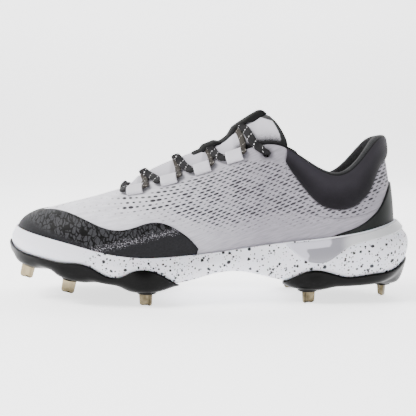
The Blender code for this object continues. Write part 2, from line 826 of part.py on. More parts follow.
def make_clip():
    """Clear grey clip that hugs the heel below the upper, laid on the foam's side."""
    angle = np.radians(np.linspace(-CLIP_END_ANGLE, CLIP_END_ANGLE, 29))
    low = read(CLIP_EDGE, 1, station_of(outline(angle)[0][:, 0]))[None, :]
    shares = 0.01 + (low - 0.01) * np.linspace(0, 1, 4)[:, None]
    inner = side_offset(angle[None, :], shares, 1.5 * GAP).reshape(-1, 3)
    outer = side_offset(angle[None, :], shares, 1.5 * GAP + CLIP_THICKNESS).reshape(-1, 3)
    thickened("heel_clip", outer, inner, grid_faces(4, 29), "grey_clip")


def split_share(angle):
    """Where the collar's seam divides each rib; ahead of the collar it keeps its last value."""
    front = np.array([math.radians(COLLAR_FRONT_ANGLE)])
    last = meet(front, side_line(COLLAR_SEAM))[0]
    seam = np.minimum(meet(angle, side_line(COLLAR_SEAM)), last)
    return np.where(folded(angle) > COLLAR_FRONT_ANGLE + 0.01, last, seam)


def make_upper():
    """The knitted shell: lasting margin, side, and the part beside the throat."""
    front = math.radians(COLLAR_FRONT_ANGLE)
    rear = COLLAR_COLUMNS
    ahead = np.linspace(front, 2 * math.pi - front, 35)[1:-1]
    angle = np.concatenate([np.linspace(-front, front, rear), ahead])
    count = len(angle)
    split = split_share(angle)
    lower = split * np.linspace(0, 1, 8)[:, None]
    top = split + (1 - split) * np.linspace(0, 1, 3)[1:, None]
    shares = np.concatenate([lower, top])
    side = rib(angle[None, :], shares)
    side_inner = side - normals(rib, angle[None, :], shares) * UPPER_WALL
    foot, normal = outline(angle, foot_inset(angle))
    side_inner[0] = side[0] - np.concatenate([normal * UPPER_WALL, np.zeros((count, 1))], -1)
    side_inner[0, :, 2] += UPPER_WALL
    margin = np.array([
        on_plane(foot - normal * inset, lambda at: bed_height(at) + GAP)
        for inset in (LASTING_MARGIN, LASTING_MARGIN / 2)
    ])
    margin_inner = margin + np.array([0, 0, UPPER_WALL])
    outer = np.concatenate([margin, side]).reshape(-1, 3)
    inner = np.concatenate([margin_inner, side_inner]).reshape(-1, 3)
    faces = grid_faces(10, count, wrap=True)
    for r in (9, 10):
        for c in range(rear - 1, count):
            d = (c + 1) % count
            faces.append(tuple(k * count + m for k, m in ((r, c), (r, d), (r + 1, d), (r + 1, c))))
    used = sorted({i for face in faces for i in face})
    number = {old: new for new, old in enumerate(used)}
    faces = [tuple(number[i] for i in face) for face in faces]
    upper = thickened("upper", outer[used], inner[used], faces, "grey_knit")
    for side_sign, word in ((-1, "lateral"), (1, "medial")):
        place, ahead_axis, down_axis, facing = eyestay_frame(*EYELET, side_sign)
        turn = ring_angles(12)[:, None]
        ring = EYELET_RADIUS * (np.cos(turn) * ahead_axis + np.sin(turn) * down_axis)
        points = np.vstack([place + ring - facing * 6 * MM, place + ring + facing * 4 * MM])
        faces = grid_faces(2, 12, wrap=True) + [tuple(range(12))[::-1], tuple(range(12, 24))]
        punch = add_mesh("punch_" + word, points, faces, "grey_knit")
        join(upper, punch, "DIFFERENCE")


def make_collar():
    """Padded cuff round the ankle, from its seam up to the rolled top edge."""
    half = COLLAR_FRONT_ANGLE - 0.25
    angle = np.linspace(-COLLAR_FRONT_ANGLE, COLLAR_FRONT_ANGLE, COLLAR_COLUMNS)
    angle = np.radians(np.clip(angle, -half, half))
    split = split_share(angle) + 0.006
    levels = np.array(column(COLLAR_SECTION, 0))[:, None]
    swell = np.array(column(COLLAR_SECTION, 1))[:, None] * COLLAR_PUFF
    depth = np.array(column(COLLAR_SECTION, 2))[:, None] * COLLAR_PADDING
    shares = split + (1 - split) * levels
    full = smooth((half - folded(angle)) / 24)[None, :]
    thin = COLLAR_EDGE * (1 - 0.5 * levels**4)
    outer = rib_offset(angle[None, :], shares, swell * full)
    inner = rib_offset(angle[None, :], shares, -(depth * full + thin * (1 - full)))
    faces = grid_faces(len(levels), len(angle))
    thickened("collar", outer.reshape(-1, 3), inner.reshape(-1, 3), faces, "black_padding")


def make_overlay(name, centre, half_turn, columns, line_rows):
    """Thin moulded skin over the upper, from just above the sole's rim to a drawn line."""
    angle = centre + np.radians(np.linspace(-half_turn, half_turn, columns))
    low = rim_share(angle) + 0.012
    high = np.maximum(meet(angle, side_line(line_rows)), low + 0.02)
    shares = low + (high - low) * np.linspace(0, 1, 5)[:, None]
    inner = rib_offset(angle[None, :], shares, np.full(shares.shape, 1.6 * GAP))
    outer = rib_offset(angle[None, :], shares, np.full(shares.shape, 1.6 * GAP + OVERLAY_THICKNESS))
    faces = grid_faces(5, columns)
    thickened(name, outer.reshape(-1, 3), inner.reshape(-1, 3), faces, "black_print")


def make_insole():
    """Foam insole that lies on the lasting margin."""
    angle = ring_angles(40)
    base = 2.4 * GAP + UPPER_WALL

    def layer(rise):
        def seat(plan, *_):
            return seat_ring(plan[:2], base + rise)

        insets = [foot_inset(angle) + UPPER_WALL + inset for inset in (3 * MM, 9 * MM)]
        rows = np.array([seat_ring(outline(angle, inset)[0], base + rise) for inset in insets])
        return disc_sheet(rows, True, 4, seat)

    bottom, faces = layer(0)
    top, _ = layer(INSOLE_THICKNESS)
    thickened("insole", bottom, top, faces, "lining")


def tongue_controls():
    """Four points of each row's cross-section, from the ridge to the side, on both sides."""
    controls = np.zeros((len(TONGUE), 2, 4, 3))
    for i, (ridge, height, side_station, half, side_height) in enumerate(TONGUE):
        middle = centre_line(ridge)
        top = np.array([x_of(ridge), middle, lift(height * TONGUE_HEIGHT)])
        for j, side in enumerate((-1, 1)):
            if half is None:
                angle = throat_angle(x_of(side_station), side)
                depth = -(UPPER_WALL + TONGUE_CLEARANCE)
                low = rib_offset(angle, np.array(1 - TONGUE_TUCK), depth)
                brow = rib_offset(angle, np.array(1.0), depth)
                lead = brow - (brow - low) * 0.2
                reach = np.array([0, 0.39 * (brow[1] - middle), 0])
            else:
                z = lift(side_height * TONGUE_HEIGHT)
                low = np.array([x_of(side_station), middle + side * half * BALL_WIDTH, z])
                lead = low + np.array([(top[0] - low[0]) * 0.45, 0, (top[2] - z) * 0.5])
                reach = np.array([0, side * half * BALL_WIDTH * 0.6, 0])
            controls[i, j] = top, top + reach, lead, low
    return controls


def tongue_surface(along, across):
    """The tongue's outer face: along 0 to 1 from under the vamp, across -1 lateral to 1."""
    along, across = np.broadcast_arrays(along, across)
    knots = np.linspace(0, 1, len(TONGUE))
    side = (across > 0).astype(int)
    t = np.abs(across)
    weights = [(1 - t) ** 3, 3 * t * (1 - t) ** 2, 3 * t * t * (1 - t), t**3]
    result = np.zeros(along.shape + (3,))
    for k, weight in enumerate(weights):
        for axis in range(3):
            both = [spline(knots, TONGUE_CONTROLS[:, j, k, axis], along) for j in (0, 1)]
            result[..., axis] += weight * np.where(side, both[1], both[0])
    return result


def tongue_normals(along, across):
    small = 1e-3
    along, across = np.broadcast_arrays(along, across)
    a = tongue_surface(along + small, across) - tongue_surface(along - small, across)
    b = tongue_surface(along, across + small) - tongue_surface(along, across - small)
    found = np.cross(a, b)
    found /= np.linalg.norm(found, axis=-1, keepdims=True)
    return found * np.where(found[..., 2:3] < 0, -1, 1)


def make_tongue():
    """Padded tongue that runs from under the vamp, through the throat, to above the collar."""
    a, b = np.meshgrid(np.linspace(0, 1, 15), np.linspace(-1, 1, 13), indexing="ij")
    outer = tongue_surface(a, b)
    edge = np.maximum(np.abs(b), np.abs(2 * a - 1)) ** 8
    thick = TONGUE_THICKNESS + (TONGUE_EDGE - TONGUE_THICKNESS) * edge
    thick = thick * (0.55 + 0.45 * smooth(a / 0.4))
    facing = tongue_normals(np.clip(a, 0.004, 0.996), np.clip(b, -0.97, 0.97))
    inner = outer - facing * thick[..., None]
    faces = grid_faces(15, 13)
    thickened("tongue", outer.reshape(-1, 3), inner.reshape(-1, 3), faces, "grey_knit")


def panel_reach(along):
    """How far across the dark strip's edge lies, from the ridge's own handle there."""
    knots = np.linspace(0, 1, len(TONGUE))
    handle = spline(knots, TONGUE_CONTROLS[:, 1, 1, 1] - TONGUE_CONTROLS[:, 1, 0, 1], along)
    return np.minimum(PANEL_HALF_WIDTH / (3 * handle), 0.45)


def make_tongue_panel():
    """Dark padded strip on the front of the tongue, with a tunnel for each lace crossing."""
    along = np.linspace(PANEL_START, 0.985, 19)
    a, b = np.meshgrid(along, np.linspace(-1, 1, 5), indexing="ij")
    reach = b * panel_reach(a)
    base, facing = tongue_surface(a, reach), tongue_normals(a, reach)
    ridge_x = tongue_surface(along, np.zeros(len(along)))[:, 0]
    lifted = np.zeros(len(along))
    for station, _setback in LOOPS[2:]:
        away = np.abs(ridge_x - crossing_x(x_of(station) + LOOP_LENGTH / 2))
        lifted = np.maximum(lifted, smooth(2.2 - away / TUNNEL_HALF_LENGTH))
    rise = 2 * GAP + (PANEL_HEIGHT - PANEL_SKIN - 2 * GAP) * lifted
    inner = base + facing * rise[:, None, None]
    outer = base + facing * (PANEL_HEIGHT - 0.6 * MM * b[..., None] ** 4)
    faces = grid_faces(19, 5)
    thickened("tongue_panel", outer.reshape(-1, 3), inner.reshape(-1, 3), faces, "black_padding")


def throat_angle(x, side, share=1.0):
    """The angle of the rib whose point at this share lies at x, on one side of the throat."""
    turn = np.radians(np.linspace(76, 178, 103))
    spots = rib(turn if side < 0 else 2 * math.pi - turn, np.full(103, share))
    found = float(np.interp(-x, -spots[:, 0], turn))
    return np.array(found if side < 0 else 2 * math.pi - found)


def eyestay_frame(station, setback, side):
    """A point on the upper beside the throat, and the axes ahead, down the side and out."""
    share = np.array(1 - setback)
    angle = throat_angle(x_of(station), side, 1 - setback)
    place = rib(angle, share)
    facing = normals(rib, angle, share)
    ahead = (rib(angle + 0.02, share) - rib(angle - 0.02, share)) * -side
    ahead /= np.linalg.norm(ahead)
    return place, ahead, np.cross(ahead, facing) * side, facing


def arch(width, height, count):
    """A low arch with an upright foot on each side, as (across, up) pairs."""
    turn = np.linspace(0, math.pi, count)
    return np.stack([width / 2 * np.cos(turn), height * np.sin(turn) ** 0.55], -1)


def make_loops():
    """Flat webbing tunnels on the edge of the throat that the lace runs through."""
    outside = arch(LOOP_WIDTH, LOOP_BORE + 2 * LOOP_WALL, 8)
    inside = arch(LOOP_WIDTH - 2 * LOOP_WALL, LOOP_BORE, 8) + np.array([0, LOOP_WALL])
    for side, word in ((-1, "lateral"), (1, "medial")):
        for number, (station, setback) in enumerate(LOOPS, 1):
            place, ahead, down, facing = eyestay_frame(station, setback, side)
            sheets = []
            for section in (outside, inside):
                points = section @ np.array([down, facing]) + place + facing * LOOP_SEAT
                sheets.append(np.vstack([points + ahead * LOOP_LENGTH * e for e in (-0.5, 0.5)]))
            faces = grid_faces(2, 8, wrap=True)
            thickened(f"lace_loop_{word}_{number}", *sheets, faces, "grey_knit")


def swept(path, ups):
    """Points and faces of a flat cord along a path, with filled ends."""
    tangent = np.gradient(path, axis=0)
    wide = np.cross(tangent, ups)
    wide /= np.linalg.norm(wide, axis=1, keepdims=True)
    up = np.cross(wide, tangent)
    up /= np.linalg.norm(up, axis=1, keepdims=True)
    section = np.array([(1, 0), (0.6, 1), (-0.6, 1), (-1, 0), (-0.6, -1), (0.6, -1)]) / 2
    spread = section[None, :, :1] * wide[:, None] * LACE_WIDTH
    points = (path[:, None] + spread + section[None, :, 1:] * up[:, None] * LACE_HEIGHT)
    faces = grid_faces(len(path), 6, wrap=True)
    last = (len(path) - 1) * 6
    faces += [tuple(range(6))[::-1], tuple(range(last, last + 6))]
    return points.reshape(-1, 3), faces


def tongue_spot(x, across, height):
    """A point over the tongue at this x, and the normal there."""
    along = np.linspace(0.02, 0.98, 193)
    spots = tongue_surface(along, np.full(193, across))
    found, across = np.array(np.interp(x, spots[:, 0], along)), np.array(across)
    facing = tongue_normals(found, across)
    return tongue_surface(found, across) + facing * height, facing


def edge_spot(x, side, height):
    """A point over the throat's edge at this x, and the normal there."""
    angle, top = throat_angle(x, side), np.array(1.0)
    return rib_offset(angle, top, height), normals(rib, angle, top)


def flank_spot(x, side, setback, height):
    """A point over the upper, part of the way from the throat's edge down to a loop."""
    share = np.array(1 - setback)
    angle = throat_angle(x, side, 1 - setback)
    return rib_offset(angle, share, height), normals(rib, angle, share)


def lace_path(start, end, out_x, ridge_x, over):
    """A stretch of lace out of one mouth, up over the tongue's ridge and down to another."""
    rest = LACE_CLEARANCE + LACE_HEIGHT / 2
    (p0, out0, up0, side0, setback0), (p1, out1, up1, side1, setback1) = start, end
    reach, in_x = p1[0] - ridge_x, p1[0] - 3.0 * MM
    spots = [
        (p0 - out0 * 3 * MM, up0),
        (p0 - out0 * 0.8 * MM, up0),
        (p0 + out0 * 1.8 * MM, up0),
        flank_spot(out_x, side0, setback0 * 0.45, rest + LOOP_SEAT),
        edge_spot(out_x, side0, rest + over / 2),
        tongue_spot((out_x + ridge_x) / 2, 0.34 * side0, rest + over / 2),
        tongue_spot(ridge_x, 0.0, rest + over),
        tongue_spot(ridge_x + 0.3 * reach, 0.34 * side1, rest + over / 2),
        edge_spot(min(ridge_x + 0.62 * reach, in_x), side1, rest + over / 2),
        flank_spot(min(ridge_x + 0.77 * reach, in_x), side1, setback1 * 0.45, rest + LOOP_SEAT),
        (p1 + out1 * 1.8 * MM, up1),
        (p1 - out1 * 0.8 * MM, up1),
        (p1 - out1 * 3 * MM, up1),
    ]
    places = np.array([spot for spot, _ in spots])
    steps = np.linalg.norm(np.diff(places, axis=0), axis=1)
    knots = np.concatenate([[0], np.cumsum(steps)]) / steps.sum()
    at = np.linspace(0, 1, 15)
    path = np.stack([spline(knots, places[:, k], at) for k in range(3)], -1)
    ups = np.stack([np.interp(at, knots, [up[k] for _, up in spots]) for k in range(3)], -1)
    return path, ups


def crossing_x(mouth_x):
    """Where the stretches from the two loops of a pair cross on the ridge of the tongue."""
    return mouth_x - 1.0 * MM


def make_laces():
    """The bar across the front and the crossings above it, each one joined solid."""
    height = LOOP_SEAT + LOOP_WALL + LOOP_BORE / 2
    mouths = {}
    for side in (-1, 1):
        for number, (station, setback) in enumerate(LOOPS):
            place, ahead, _down, facing = eyestay_frame(station, setback, side)
            for end, way in (("front", 1), ("rear", -1)):
                point = place + ahead * way * LOOP_LENGTH / 2 + facing * height
                mouths[side, number, end] = (point, ahead * way, facing, side, setback)
        place, _ahead, down, facing = eyestay_frame(*EYELET, side)
        mouths[side, len(LOOPS), "front"] = (place + facing * 1.6 * MM, facing, down, side, 0.1)
    front = mouths[-1, 0, "front"], mouths[1, 0, "front"]
    bar_x = front[0][0][0] - 3.0 * MM
    path, ups = lace_path(*front, bar_x, bar_x, 1.9 * MM)
    add_mesh("lace_bar", *swept(path, ups), "black_lace")
    for number in range(len(LOOPS)):
        runs = []
        for side, over in ((-1, 0.0), (1, 0.5 * LACE_HEIGHT)):
            start, end = mouths[side, number, "rear"], mouths[-side, number + 1, "front"]
            mouth_x = start[0][0]
            path, ups = lace_path(start, end, mouth_x + 3.8 * MM, crossing_x(mouth_x), over)
            name = f"lace_crossing_{number + 1}" if side < 0 else f"lace_over_{number + 1}"
            runs.append(add_mesh(name, *swept(path, ups), "black_lace"))
        join(runs[0], runs[1], "UNION")


def main():
    clear_scene()
    make_midsole()
    fore = make_plate("outsole_forefoot", math.pi, FORE_PLATE_HALF_TURN, FORE_EDGE, -14 * MM)
    add_bosses(fore, 0.5, 1.0)
    heel = make_plate("outsole_heel", 0.0, HEEL_PLATE_HALF_TURN, HEEL_EDGE, 10 * MM)
    add_bosses(heel, 0.0, 0.4)
    make_spikes()
    make_clip()
    make_upper()
    make_collar()
    make_overlay("toe_cap", math.pi, 180 - CAP_END_ANGLE, 41, CAP_LINE)
    make_overlay("heel_counter", 0.0, COUNTER_END_ANGLE, 17, COUNTER_LINE)
    make_insole()
    make_tongue()
    make_tongue_panel()
    make_loops()
    make_laces()


TONGUE_CONTROLS = tongue_controls()
main()
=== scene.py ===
"""Looks of a left baseball shoe with metal spikes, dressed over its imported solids.

Metres, +Z up, toe towards -X, outer side towards -Y, spike tips on Z = 0.
"""

import math

import bmesh
import bpy
import numpy as np
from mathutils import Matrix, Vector


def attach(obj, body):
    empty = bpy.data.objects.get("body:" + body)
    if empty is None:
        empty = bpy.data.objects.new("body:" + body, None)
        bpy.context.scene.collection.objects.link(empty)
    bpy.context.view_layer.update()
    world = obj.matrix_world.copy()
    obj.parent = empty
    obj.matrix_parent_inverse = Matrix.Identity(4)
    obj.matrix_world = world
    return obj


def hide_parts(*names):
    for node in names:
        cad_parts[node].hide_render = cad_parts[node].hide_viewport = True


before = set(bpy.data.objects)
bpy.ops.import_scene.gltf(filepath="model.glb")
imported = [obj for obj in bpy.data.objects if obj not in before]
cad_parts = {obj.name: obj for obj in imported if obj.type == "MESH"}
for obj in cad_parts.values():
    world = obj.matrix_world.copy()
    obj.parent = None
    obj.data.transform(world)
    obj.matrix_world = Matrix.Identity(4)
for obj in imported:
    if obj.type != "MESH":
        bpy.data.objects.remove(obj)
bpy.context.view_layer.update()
MM = 0.001


# Upper: one shell of engineered polyester mesh, pulled down over a last with its edge turned
# under and cemented to the foam. Its slanted slits are knitted in. Its form carries the toe
# cap, counter, collar, loops and lace, so their sections read it too.
LENGTH = 302 * MM
BALL_WIDTH = 101.5 * MM
SPIKE_LENGTH = 9.5 * MM
TOE_HEIGHT = 71 * MM
INSTEP_HEIGHT = 104 * MM
HEEL_HEIGHT = 111 * MM
FOREFOOT_STACK = 18 * MM
HEEL_STACK = 28.5 * MM
TOE_SPRING = 15 * MM
ARCH_RISE = 8 * MM
RIM_HEIGHT = 8 * MM
HEEL_RIM_RISE = 12.5 * MM
UPPER_WALL = 2.4 * MM
LASTING_MARGIN = 9 * MM
GAP = 0.3 * MM  # clearance between pieces that touch
NUDGE = 1e-3  # step of the small differences that give directions
#   station from the heel, lateral and medial half widths, centre's shift to the medial side
OUTLINE = [
    (0.066, 0.310, 0.305, 0.000),
    (0.132, 0.369, 0.360, 0.000),
    (0.248, 0.379, 0.360, 0.000),
    (0.364, 0.365, 0.340, -0.005),
    (0.464, 0.374, 0.335, -0.010),
    (0.563, 0.424, 0.374, -0.010),
    (0.662, 0.498, 0.438, 0.005),
    (0.745, 0.522, 0.478, 0.025),
    (0.811, 0.498, 0.473, 0.045),
    (0.878, 0.448, 0.414, 0.070),
    (0.944, 0.325, 0.296, 0.092),
]
END_RADII = 30 * MM, 31 * MM  # of the outline at the heel and at the toe
TOE_SHIFT = 0.118  # medial shift of the toe's tip, over BALL_WIDTH
#   station, drop, spring, underside, arch, rim, heel rim: shares of the sizes above
SOLE_LINES = [
    (0.00, 1.10, 0.00, 0.90, 0.00, 1.00, 1.00),
    (0.05, 1.04, 0.00, 0.52, 0.00, 1.00, 0.86),
    (0.12, 0.96, 0.00, 0.34, 0.00, 1.05, 0.50),
    (0.25, 0.90, 0.00, 0.28, 0.00, 0.98, 0.10),
    (0.33, 0.75, 0.00, 0.36, 0.05, 0.98, 0.00),
    (0.43, 0.50, 0.00, 0.42, 0.70, 0.78, 0.00),
    (0.48, 0.36, 0.00, 0.38, 0.62, 0.70, 0.00),
    (0.56, 0.12, 0.00, 0.30, 0.05, 0.75, 0.00),
    (0.65, 0.00, 0.02, 0.38, 0.00, 0.76, 0.00),
    (0.74, 0.00, 0.14, 0.54, 0.00, 0.94, 0.00),
    (0.82, 0.00, 0.40, 0.80, 0.00, 1.15, 0.00),
    (0.90, 0.00, 0.72, 1.04, 0.00, 1.15, 0.00),
    (0.97, 0.00, 0.97, 1.20, 0.00, 1.15, 0.00),
    (1.00, 0.00, 1.06, 1.36, 0.00, 1.20, 0.00),
]
#   angle, top edge: station, half width, medial extra height, height and its size,
#   bottom lean and handle, top lean and handle
RIBS = [
    (0, 0.071, 0.000, 0.00, 1.007 * HEEL_HEIGHT, 10, 0.235, 10, 0.25),
    (20, 0.099, 0.172, -0.01, 0.980 * HEEL_HEIGHT, 10, 0.24, 10, 0.23),
    (40, 0.160, 0.286, -0.02, 0.805 * HEEL_HEIGHT, 11, 0.225, 8, 0.19),
    (60, 0.232, 0.322, -0.02, 0.787 * HEEL_HEIGHT, 12, 0.21, 8, 0.19),
    (75, 0.300, 0.306, -0.01, 0.900 * HEEL_HEIGHT, 12, 0.22, 14, 0.22),
    (90, 0.364, 0.258, 0.00, 1.008 * INSTEP_HEIGHT, 11, 0.24, 30, 0.25),
    (105, 0.452, 0.188, 0.00, 0.930 * INSTEP_HEIGHT, 10, 0.23, 50, 0.23),
    (120, 0.538, 0.155, 0.00, 0.838 * INSTEP_HEIGHT, 11, 0.21, 57, 0.24),
    (135, 0.620, 0.130, 0.00, 0.762 * INSTEP_HEIGHT, 12, 0.20, 61, 0.26),
    (150, 0.682, 0.095, 0.00, 0.712 * INSTEP_HEIGHT, 12, 0.205, 65, 0.32),
    (165, 0.717, 0.052, 0.00, 0.996 * TOE_HEIGHT, 11, 0.22, 69, 0.42),
    (180, 0.728, 0.000, 0.00, 1.000 * TOE_HEIGHT, 10, 0.235, 72, 0.48),
]
#   station, height as a share of INSTEP_HEIGHT, in the side view
COLLAR_SEAM = [
    (0.050, 0.925), (0.075, 0.875), (0.088, 0.835), (0.101, 0.760), (0.115, 0.682),
    (0.131, 0.629), (0.149, 0.587), (0.171, 0.563), (0.192, 0.558), (0.213, 0.566),
    (0.235, 0.592), (0.254, 0.637), (0.273, 0.700), (0.294, 0.779), (0.311, 0.850),
    (0.330, 0.950),
]
COLLAR_FRONT = 78.5  # degrees from the heel


def spline(knots, values, at):
    """Natural cubic spline through (knots, values): y is linear plus a bend that is solved for."""
    x, y = np.asarray(knots, float), np.asarray(values, float)
    step, count = np.diff(x), len(x)
    system, slopes = np.eye(count), np.zeros(count)
    for i in range(1, count - 1):
        system[i, i - 1 : i + 2] = step[i - 1], 2 * (step[i - 1] + step[i]), step[i]
        slopes[i] = 6 * ((y[i + 1] - y[i]) / step[i] - (y[i] - y[i - 1]) / step[i - 1])
    bend = np.linalg.solve(system, slopes)
    at = np.clip(np.asarray(at, float), x[0], x[-1])
    i = np.clip(np.searchsorted(x, at) - 1, 0, count - 2)
    h = step[i]
    a, b = (x[i + 1] - at) / h, (at - x[i]) / h
    return a * y[i] + b * y[i + 1] + ((a**3 - a) * bend[i] + (b**3 - b) * bend[i + 1]) * h**2 / 6


def read(rows, index, at):
    """A column of a table as a spline of its first column."""
    return spline([r[0] for r in rows], [r[index] for r in rows], at)


def station_of(x):
    """Share of the length from the heel: half less x over the length."""
    return 0.5 - x / LENGTH


def x_of(station):
    """Place along the length: half less the station, times the length."""
    return (0.5 - station) * LENGTH


def once_round(count):
    """Angles of a closed ring of points: a full turn in equal steps."""
    return np.arange(count) * 2 * math.pi / count


def unit(vectors):
    """Vectors over their own lengths."""
    return vectors / np.linalg.norm(vectors, axis=-1, keepdims=True)


def smooth(t):
    """Ease from 0 to 1: 3t^2 - 2t^3, held outside."""
    t = np.clip(t, 0, 1)
    return t * t * (3 - 2 * t)


def dome(t, least=0.0):
    """A rounded edge: the quarter circle sqrt(1 - (1 - t)^2), from its least t up to 1."""
    return np.sqrt(1 - (1 - np.clip(t, least, 1)) ** 2)


def raw_outline(angle):
    """The sole's widest line: station is (1 - cos) / 2, width is sin times a splined half."""
    station = (1 - np.cos(angle)) / 2
    halves = []
    for side in (1, 2):
        inner = [row[side] * BALL_WIDTH / (2 * math.sqrt(row[0] * (1 - row[0]))) for row in OUTLINE]
        ends = [math.sqrt(radius * LENGTH / 2) for radius in END_RADII]
        knots = [0.0] + [row[0] for row in OUTLINE] + [1.0]
        halves.append(spline(knots, [ends[0]] + inner + [ends[1]], station))
    half = np.where(np.sin(angle) >= 0, *halves)
    return x_of(station), spine(station) - np.sin(angle) * half


def spine(station):
    """Across place of the centre line, before the sole is centred."""
    shifts = [0.0] + [row[3] for row in OUTLINE] + [TOE_SHIFT]
    return spline([0.0] + [row[0] for row in OUTLINE] + [1.0], shifts, station) * BALL_WIDTH


widest = raw_outline(np.linspace(0, 2 * math.pi, 721))[1]
SIDE_SHIFT = (widest.min() + widest.max()) / 2


def outline(angle, inset=0.0):
    """Plan points of the outline moved inwards along its normal, and the outward normals."""
    x, y = raw_outline(angle)
    x0, y0 = raw_outline(angle - NUDGE)
    x1, y1 = raw_outline(angle + NUDGE)
    along = unit(np.stack([x1 - x0, y1 - y0], -1))
    normal = np.stack([-along[..., 1], along[..., 0]], -1)
    return np.stack([x, y - SIDE_SHIFT], -1) - normal * np.asarray(inset)[..., None], normal


def bed_height(station):
    """Top of the foam under the foot: stack, heel lift and toe spring, each splined."""
    drop = read(SOLE_LINES, 1, station) * (HEEL_STACK - FOREFOOT_STACK)
    return SPIKE_LENGTH + FOREFOOT_STACK + drop + read(SOLE_LINES, 2, station) * TOE_SPRING


def rim_height(station):
    """Top of the foam's rim, above the bed."""
    rise = read(SOLE_LINES, 5, station) * RIM_HEIGHT + read(SOLE_LINES, 6, station) * HEEL_RIM_RISE
    return bed_height(station) + rise


def rim_line(x):
    """Top of the foam's rim by x, as side_line gives drawn lines."""
    return rim_height(station_of(x))


def folded(angle):
    """Degrees from the heel, 0 to 180 on either side."""
    degrees = np.degrees(angle) % 360
    return np.minimum(degrees, 360 - degrees)


def foot_inset(angle):
    """How far the upper's foot lies inside the sole's outline: more at the heel than ahead."""
    degrees = folded(angle)
    return (14 - 7 * smooth(degrees / 45) - 1.5 * smooth((degrees - 120) / 50)) * MM


def rib_column(index, angle, odd=False):
    """A column of RIBS as a smooth closed curve of the angle; odd ones change sign across."""
    sign = -1 if odd else 1
    turn, values = [row[0] for row in RIBS], [row[index] for row in RIBS]
    knots = [-a for a in turn[1:4]][::-1] + turn + [360 - a for a in turn[-4:-1]][::-1]
    ends = [sign * v for v in values[1:4]][::-1], [sign * v for v in values[-4:-1]][::-1]
    return spline(knots, ends[0] + values + ends[1], folded(angle))


def rib(angle, share):
    """The upper's outer face: a cubic Bezier from the foot's edge up to the opening's edge."""
    angle, share = np.broadcast_arrays(angle, share)
    side = np.where(np.degrees(angle) % 360 > 180, 1.0, -1.0)
    foot, normal = outline(angle, foot_inset(angle))
    foot = np.concatenate([foot, bed_height(station_of(foot[..., :1])) + GAP], -1)
    station = rib_column(1, angle)
    across = spine(station) - SIDE_SHIFT + side * rib_column(2, angle, odd=True) * BALL_WIDTH
    extra = np.where(side > 0, rib_column(3, angle), 0) * INSTEP_HEIGHT
    top = np.stack([
        x_of(station), across, SPIKE_LENGTH + rib_column(4, angle) + extra
    ], -1)
    handles = []
    for lean_index, handle_index, way in ((5, 6, 1), (7, 8, -1)):
        lean = np.radians(rib_column(lean_index, angle))[..., None]
        length = rib_column(handle_index, angle)[..., None] * INSTEP_HEIGHT
        handles.append(np.concatenate([normal * np.sin(lean), np.cos(lean) * way], -1) * length)
    t = share[..., None]
    points = (1 - t) ** 3 * foot + 3 * t * (1 - t) ** 2 * (foot + handles[0])
    return points + 3 * t * t * (1 - t) * (top + handles[1]) + t**3 * top


def normals(surface, a, b):
    """Unit normals of surface(a, b): the cross product of its two small differences."""
    a, b = np.broadcast_arrays(a, b)
    across = surface(a + NUDGE, b) - surface(a - NUDGE, b)
    up = surface(a, np.minimum(b + NUDGE, 1)) - surface(a, np.maximum(b - NUDGE, 0))
    return unit(np.cross(up, across))


def rib_offset(angle, share, distance):
    """The upper's face moved out along its normal."""
    angle, share, distance = np.broadcast_arrays(angle, share, distance)
    return rib(angle, share) + normals(rib, angle, share) * distance[..., None]


def meet(angle, line):
    """The share of each rib at which it first crosses a height given by its x."""
    shares = np.linspace(0, 1, 401)
    points = rib(angle[None, :], shares[:, None])
    above = points[..., 2] - line(points[..., 0])
    crossing = (above[:-1] < 0) & (above[1:] >= 0)
    k, c = crossing.argmax(0), np.arange(len(angle))
    step = above[k, c] / np.where(crossing.any(0), above[k, c] - above[k + 1, c], 1)
    found = np.where(crossing.any(0), shares[k] + step * shares[1], 1)
    return np.where(above[0] >= 0, 0, found)


def side_line(rows):
    """A drawn line of the side view as heights above the floor by x."""
    return lambda x: SPIKE_LENGTH + read(rows, 1, station_of(x)) * INSTEP_HEIGHT


def split_share(angle):
    """Where the collar's seam divides each rib behind its front end."""
    last = meet(np.array([math.radians(COLLAR_FRONT)]), side_line(COLLAR_SEAM))[0]
    return np.minimum(meet(angle, side_line(COLLAR_SEAM)), last)


def put_mesh(name, points, faces, maps=()):
    """A smooth mesh piece that rides on the shoe. maps are (name, per point values) pairs."""
    points, faces = np.asarray(points, float), np.asarray(faces)
    mesh = bpy.data.meshes.new(name)
    mesh.from_pydata(points, [], faces.tolist())
    for title, values in maps:
        values = np.asarray(values, np.float32)
        if values.ndim == 2:
            layer = mesh.uv_layers.new(name=title)
            loops = np.zeros(len(mesh.loops), np.int32)
            mesh.loops.foreach_get("vertex_index", loops)
            layer.data.foreach_set("uv", values[loops].ravel())
        else:
            layer = mesh.attributes.new(title, "FLOAT", "POINT")
            layer.data.foreach_set("value", values)
    work = bmesh.new()
    work.from_mesh(mesh)
    bmesh.ops.remove_doubles(work, verts=work.verts, dist=2e-6)
    bmesh.ops.recalc_face_normals(work, faces=work.faces)
    if work.calc_volume(signed=True) < 0:
        bmesh.ops.reverse_faces(work, faces=work.faces)
    work.to_mesh(mesh)
    work.free()
    mesh.shade_smooth()
    piece = bpy.data.objects.new(name, mesh)
    bpy.context.scene.collection.objects.link(piece)
    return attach(piece, "root")


def quads(rows, columns, wrap=False):
    """Faces between the rows of a grid of points numbered row by row."""
    r, c = np.mgrid[0 : rows - 1, 0 : columns if wrap else columns - 1]
    d = (c + 1) % columns
    corners = [r * columns + c, r * columns + d, (r + 1) * columns + d, (r + 1) * columns + c]
    return np.stack(corners, -1).reshape(-1, 4)


